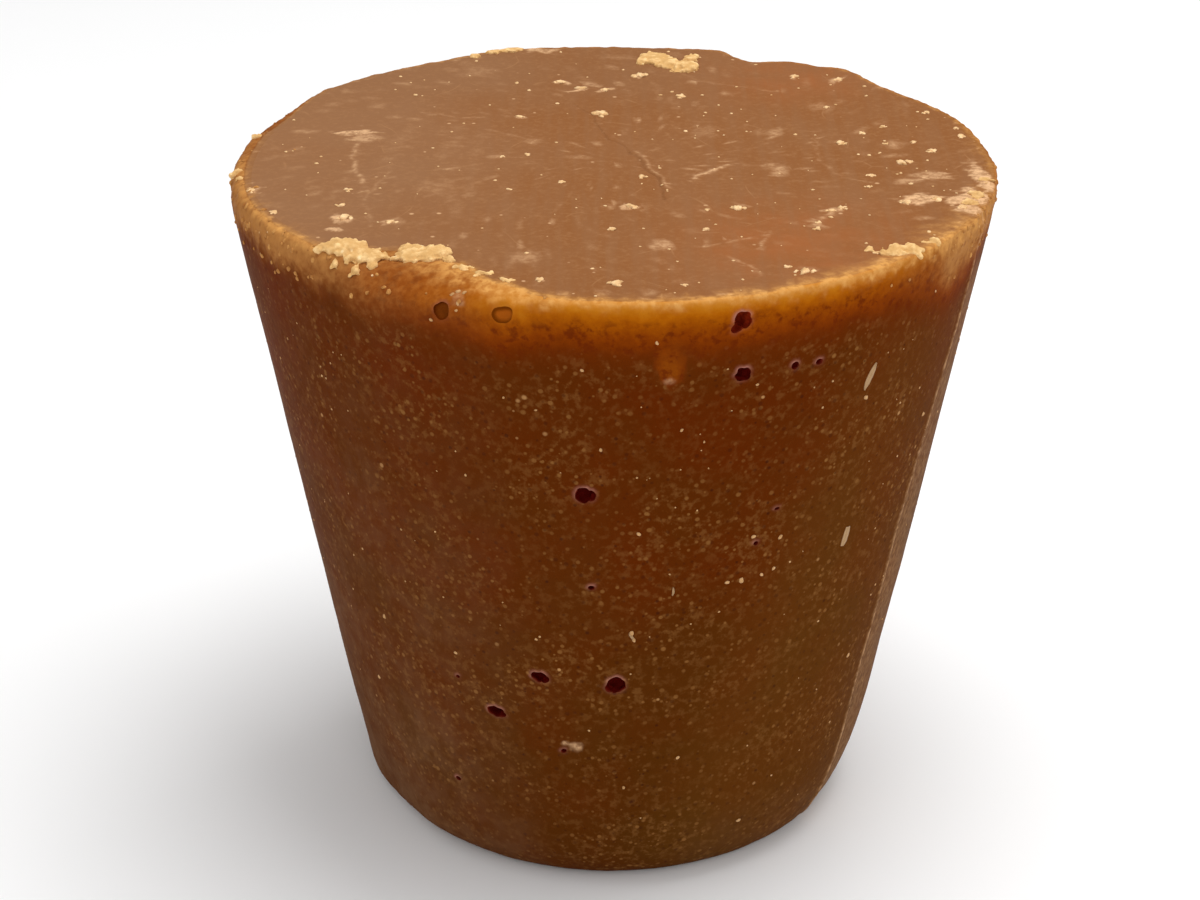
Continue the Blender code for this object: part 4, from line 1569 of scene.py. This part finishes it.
@dataclass(frozen=True)
class BubbleWall:
    """The dark crimson inside of a blow hole, with painted shade deeper in, and painted light coming through
    where it lies in the amber rim. Shallow, thin-walled holes get a painted shaded ring round a lit middle.
    """

    mouth: Colour = (0.170, 0.022, 0.010)
    depth: Colour = (0.095, 0.004, 0.002)
    lit: Colour = (0.400, 0.042, 0.006)
    shaded_ring: tuple[Colour, Colour] = ((0.110, 0.018, 0.001), (0.150, 0.032, 0.001))
    lit_heart: tuple[Colour, Colour] = ((0.200, 0.044, 0.004), (0.360, 0.086, 0.006))

    def material(self) -> bpy.types.Material:
        """Builds the material."""
        look = Look("blow_hole_wall")
        inside, glow, grain = look.attribute("inside"), look.attribute("glow"), look.noise(0.6, 3.0, 0.6)
        # Painted shade: darker deeper inside the hole.
        colour = look.mix(look.between(inside, 0.0, 0.4), self.mouth, self.depth)
        # Painted light coming through the thin amber rim.
        lit = look.between(look.attribute("amber_glow"), 0.15, 0.7, 0.0, 0.85)
        colour = look.mix(look.times(lit, look.between(grain, 0.3, 0.6, 0.4, 1.0)), colour, self.lit)
        # Thin-walled holes: a painted shaded ring round a lit middle.
        thin = look.between(glow, 0.4, 1.0)
        shaded_ring, lit_heart = look.mix(thin, *self.shaded_ring), look.mix(thin, *self.lit_heart)
        shallow = look.mix(look.between(inside, 0.20, 0.75), shaded_ring, lit_heart)
        colour = look.mix(look.between(glow, 0.0, 0.4), colour, shallow)
        return look.finished(colour, grain, (0.5, 0.00012), 0.42, 0.003)


@dataclass(frozen=True)
class DrySugar:
    """Dry, crumbly sugar, paler where it stands out and darker in its hollows, where shade is painted."""

    name: str
    light: Colour
    shade: Colour
    speck: Colour
    grain: float = 0.0005

    def material(self) -> bpy.types.Material:
        """Builds the material."""
        look = Look(self.name)
        tone = {"Low": self.shade, "High": self.light, "Hardness": 0.1}
        colour = look.effect(Effect.TONE, "Colour", Size=0.0012, **tone)
        # Painted shade in the hollows.
        colour = look.mix(look.between(look.attribute("hollow_shade"), 0.35, 1.0, 0.0, 0.85), colour, self.shade)
        colour = look.mix(look.times(look.specks(0.0012, 0.3, 0.3), 0.45), colour, self.speck)
        grain = look.effect(Effect.GRAIN, "Height", Size=self.grain)
        return look.finished(colour, grain, (0.7, 0.00012), look.between(grain, 0.2, 0.9, 0.82, 0.66), 0.06)


@dataclass(frozen=True)
class CaneFibre:
    """Straw-coloured husk with fibres along it."""

    light: Colour = (0.500, 0.330, 0.175)
    dark: Colour = (0.300, 0.160, 0.070)

    def material(self) -> bpy.types.Material:
        """Builds the material."""
        look = Look("cane_husk")
        across = look.add("CombineXYZ", {0: look.attribute("grain")}).outputs[0]
        fibres = look.texture("Noise", across, 9.0, 3.0)
        colour = look.mix(look.between(fibres, 0.35, 0.65), self.dark, self.light)
        colour = look.mix(look.between(look.noise(1.1, 3.0), 0.5, 0.75, 0.0, 0.4), colour, self.dark)
        height = look.math("ADD", fibres, look.times(look.effect(Effect.GRAIN, "Height", Size=0.0004), 0.3))
        return look.finished(colour, height, (0.6, 0.0001), 0.62, 0.1)


# ---------------------------------------------------------------- studio


@dataclass(frozen=True)
class Studio:
    """A pale floor, soft light from above and all round, and the camera."""

    setting: Setting
    floor_size: float = 6.0
    floor_colour: Colour = (0.90, 0.90, 0.90)
    aim: Point = (0.0, 0.0, 0.06)
    lamps: tuple[tuple[str, Point, float, float], ...] = (
        ("overhead", (0.2, 0.12, 1.1), 0.7, 8.2), ("left", (-1.1, -0.5, 0.5), 1.5, 4.05),
        ("right", (1.1, -0.35, 0.5), 1.5, 4.05), ("front", (0.15, -1.4, 0.7), 0.9, 4.15),
    )
    room: float = 0.505
    camera_place: Point = (-1.98, -400.0, 237.9)
    camera_pitch: float = 24.61
    focal: float = 84.63
    sensor: float = 36.0

    def floor(self) -> None:
        """A plain pale floor under the block."""
        shape = bmesh.new()
        bmesh.ops.create_grid(shape, x_segments=1, y_segments=1, size=self.floor_size / 2.0)
        floor = piece_from(shape, "studio_floor")
        material = bpy.data.materials.new("pale_floor")
        material.use_nodes = True
        shader = material.node_tree.nodes["Principled BSDF"].inputs
        shader["Base Color"].default_value = (*self.floor_colour, 1.0)
        shader["Roughness"].default_value = 0.9
        shader["Specular IOR Level"].default_value = 0.1
        floor.data.materials.append(material)

    def lights(self) -> None:
        """Square soft lamps that face the block, and a bright room."""
        for name, place, size, power in self.lamps:
            data = bpy.data.lights.new(name, "AREA")
            data.size = size
            data.energy = power
            lamp = new_object(name, data)
            lamp.location = place
            lamp.rotation_euler = (Vector(self.aim) - Vector(place)).to_track_quat("-Z", "Y").to_euler()
        world = bpy.data.worlds.new("studio_room")
        world.use_nodes = True
        background = world.node_tree.nodes["Background"].inputs
        background["Color"].default_value = (1.0, 1.0, 1.0, 1.0)
        background["Strength"].default_value = self.room
        bpy.context.scene.world = world

    def camera(self) -> None:
        """The camera, looking down at the front of the block."""
        data = bpy.data.cameras.new("camera")
        data.lens = self.focal
        data.sensor_width = self.sensor
        data.clip_start = 0.01
        camera = new_object("camera", data)
        camera.location = self.setting.place(self.camera_place)
        camera.rotation_euler = (math.radians(90.0 - self.camera_pitch), 0.0, 0.0)
        bpy.context.scene.camera = camera

    def build(self) -> None:
        """Builds the whole studio."""
        self.floor()
        self.lights()
        self.camera()
        bpy.context.scene.view_settings.view_transform = "Standard"


def report(piece: bpy.types.Object) -> None:
    """Says what a finished piece holds."""
    triangles = sum(len(face.vertices) - 2 for face in piece.data.polygons)
    log.info("%s: %d vertices, %d triangles", piece.name, len(piece.data.vertices), triangles)


def main() -> None:
    """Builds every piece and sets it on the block."""
    logging.basicConfig(level=logging.INFO, format="%(name)s: %(message)s")
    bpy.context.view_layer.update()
    form = MouldForm()
    body = Skin(form)
    skin = body.build(CastSugar(), DryTop(), BubbleWall())
    surface = Surface(skin)
    pale = DrySugar("dry_sugar", (0.92, 0.63, 0.30), (0.60, 0.34, 0.12), (0.98, 0.82, 0.50))
    buried = DrySugar("buried_sugar", (0.62, 0.37, 0.17), (0.42, 0.22, 0.085), (0.80, 0.58, 0.34))
    broken = DrySugar("broken_sugar", (0.54, 0.26, 0.075), (0.32, 0.12, 0.028), (0.72, 0.42, 0.16))
    white = DrySugar("white_sugar", (0.92, 0.64, 0.35), (0.62, 0.36, 0.15), (1.0, 0.80, 0.52))
    loose = LooseSugar(surface)
    sugar = [loose.rim_crumbs(pale), loose.top_crumbs(white)]
    sugar += [loose.wall_grains(buried), loose.broken_rim(broken)]
    husk = Husk(surface).build(CaneFibre())
    setting = Setting.over(form, body.outline)
    for piece, slot in [(skin, "jaggery"), *((piece, "dry_sugar") for piece in sugar), (husk, "cane_fibre")]:
        setting.settle(piece)
        report(piece)
    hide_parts(NODE)
    Studio(setting).build()


if __name__ == "__main__":
    main()
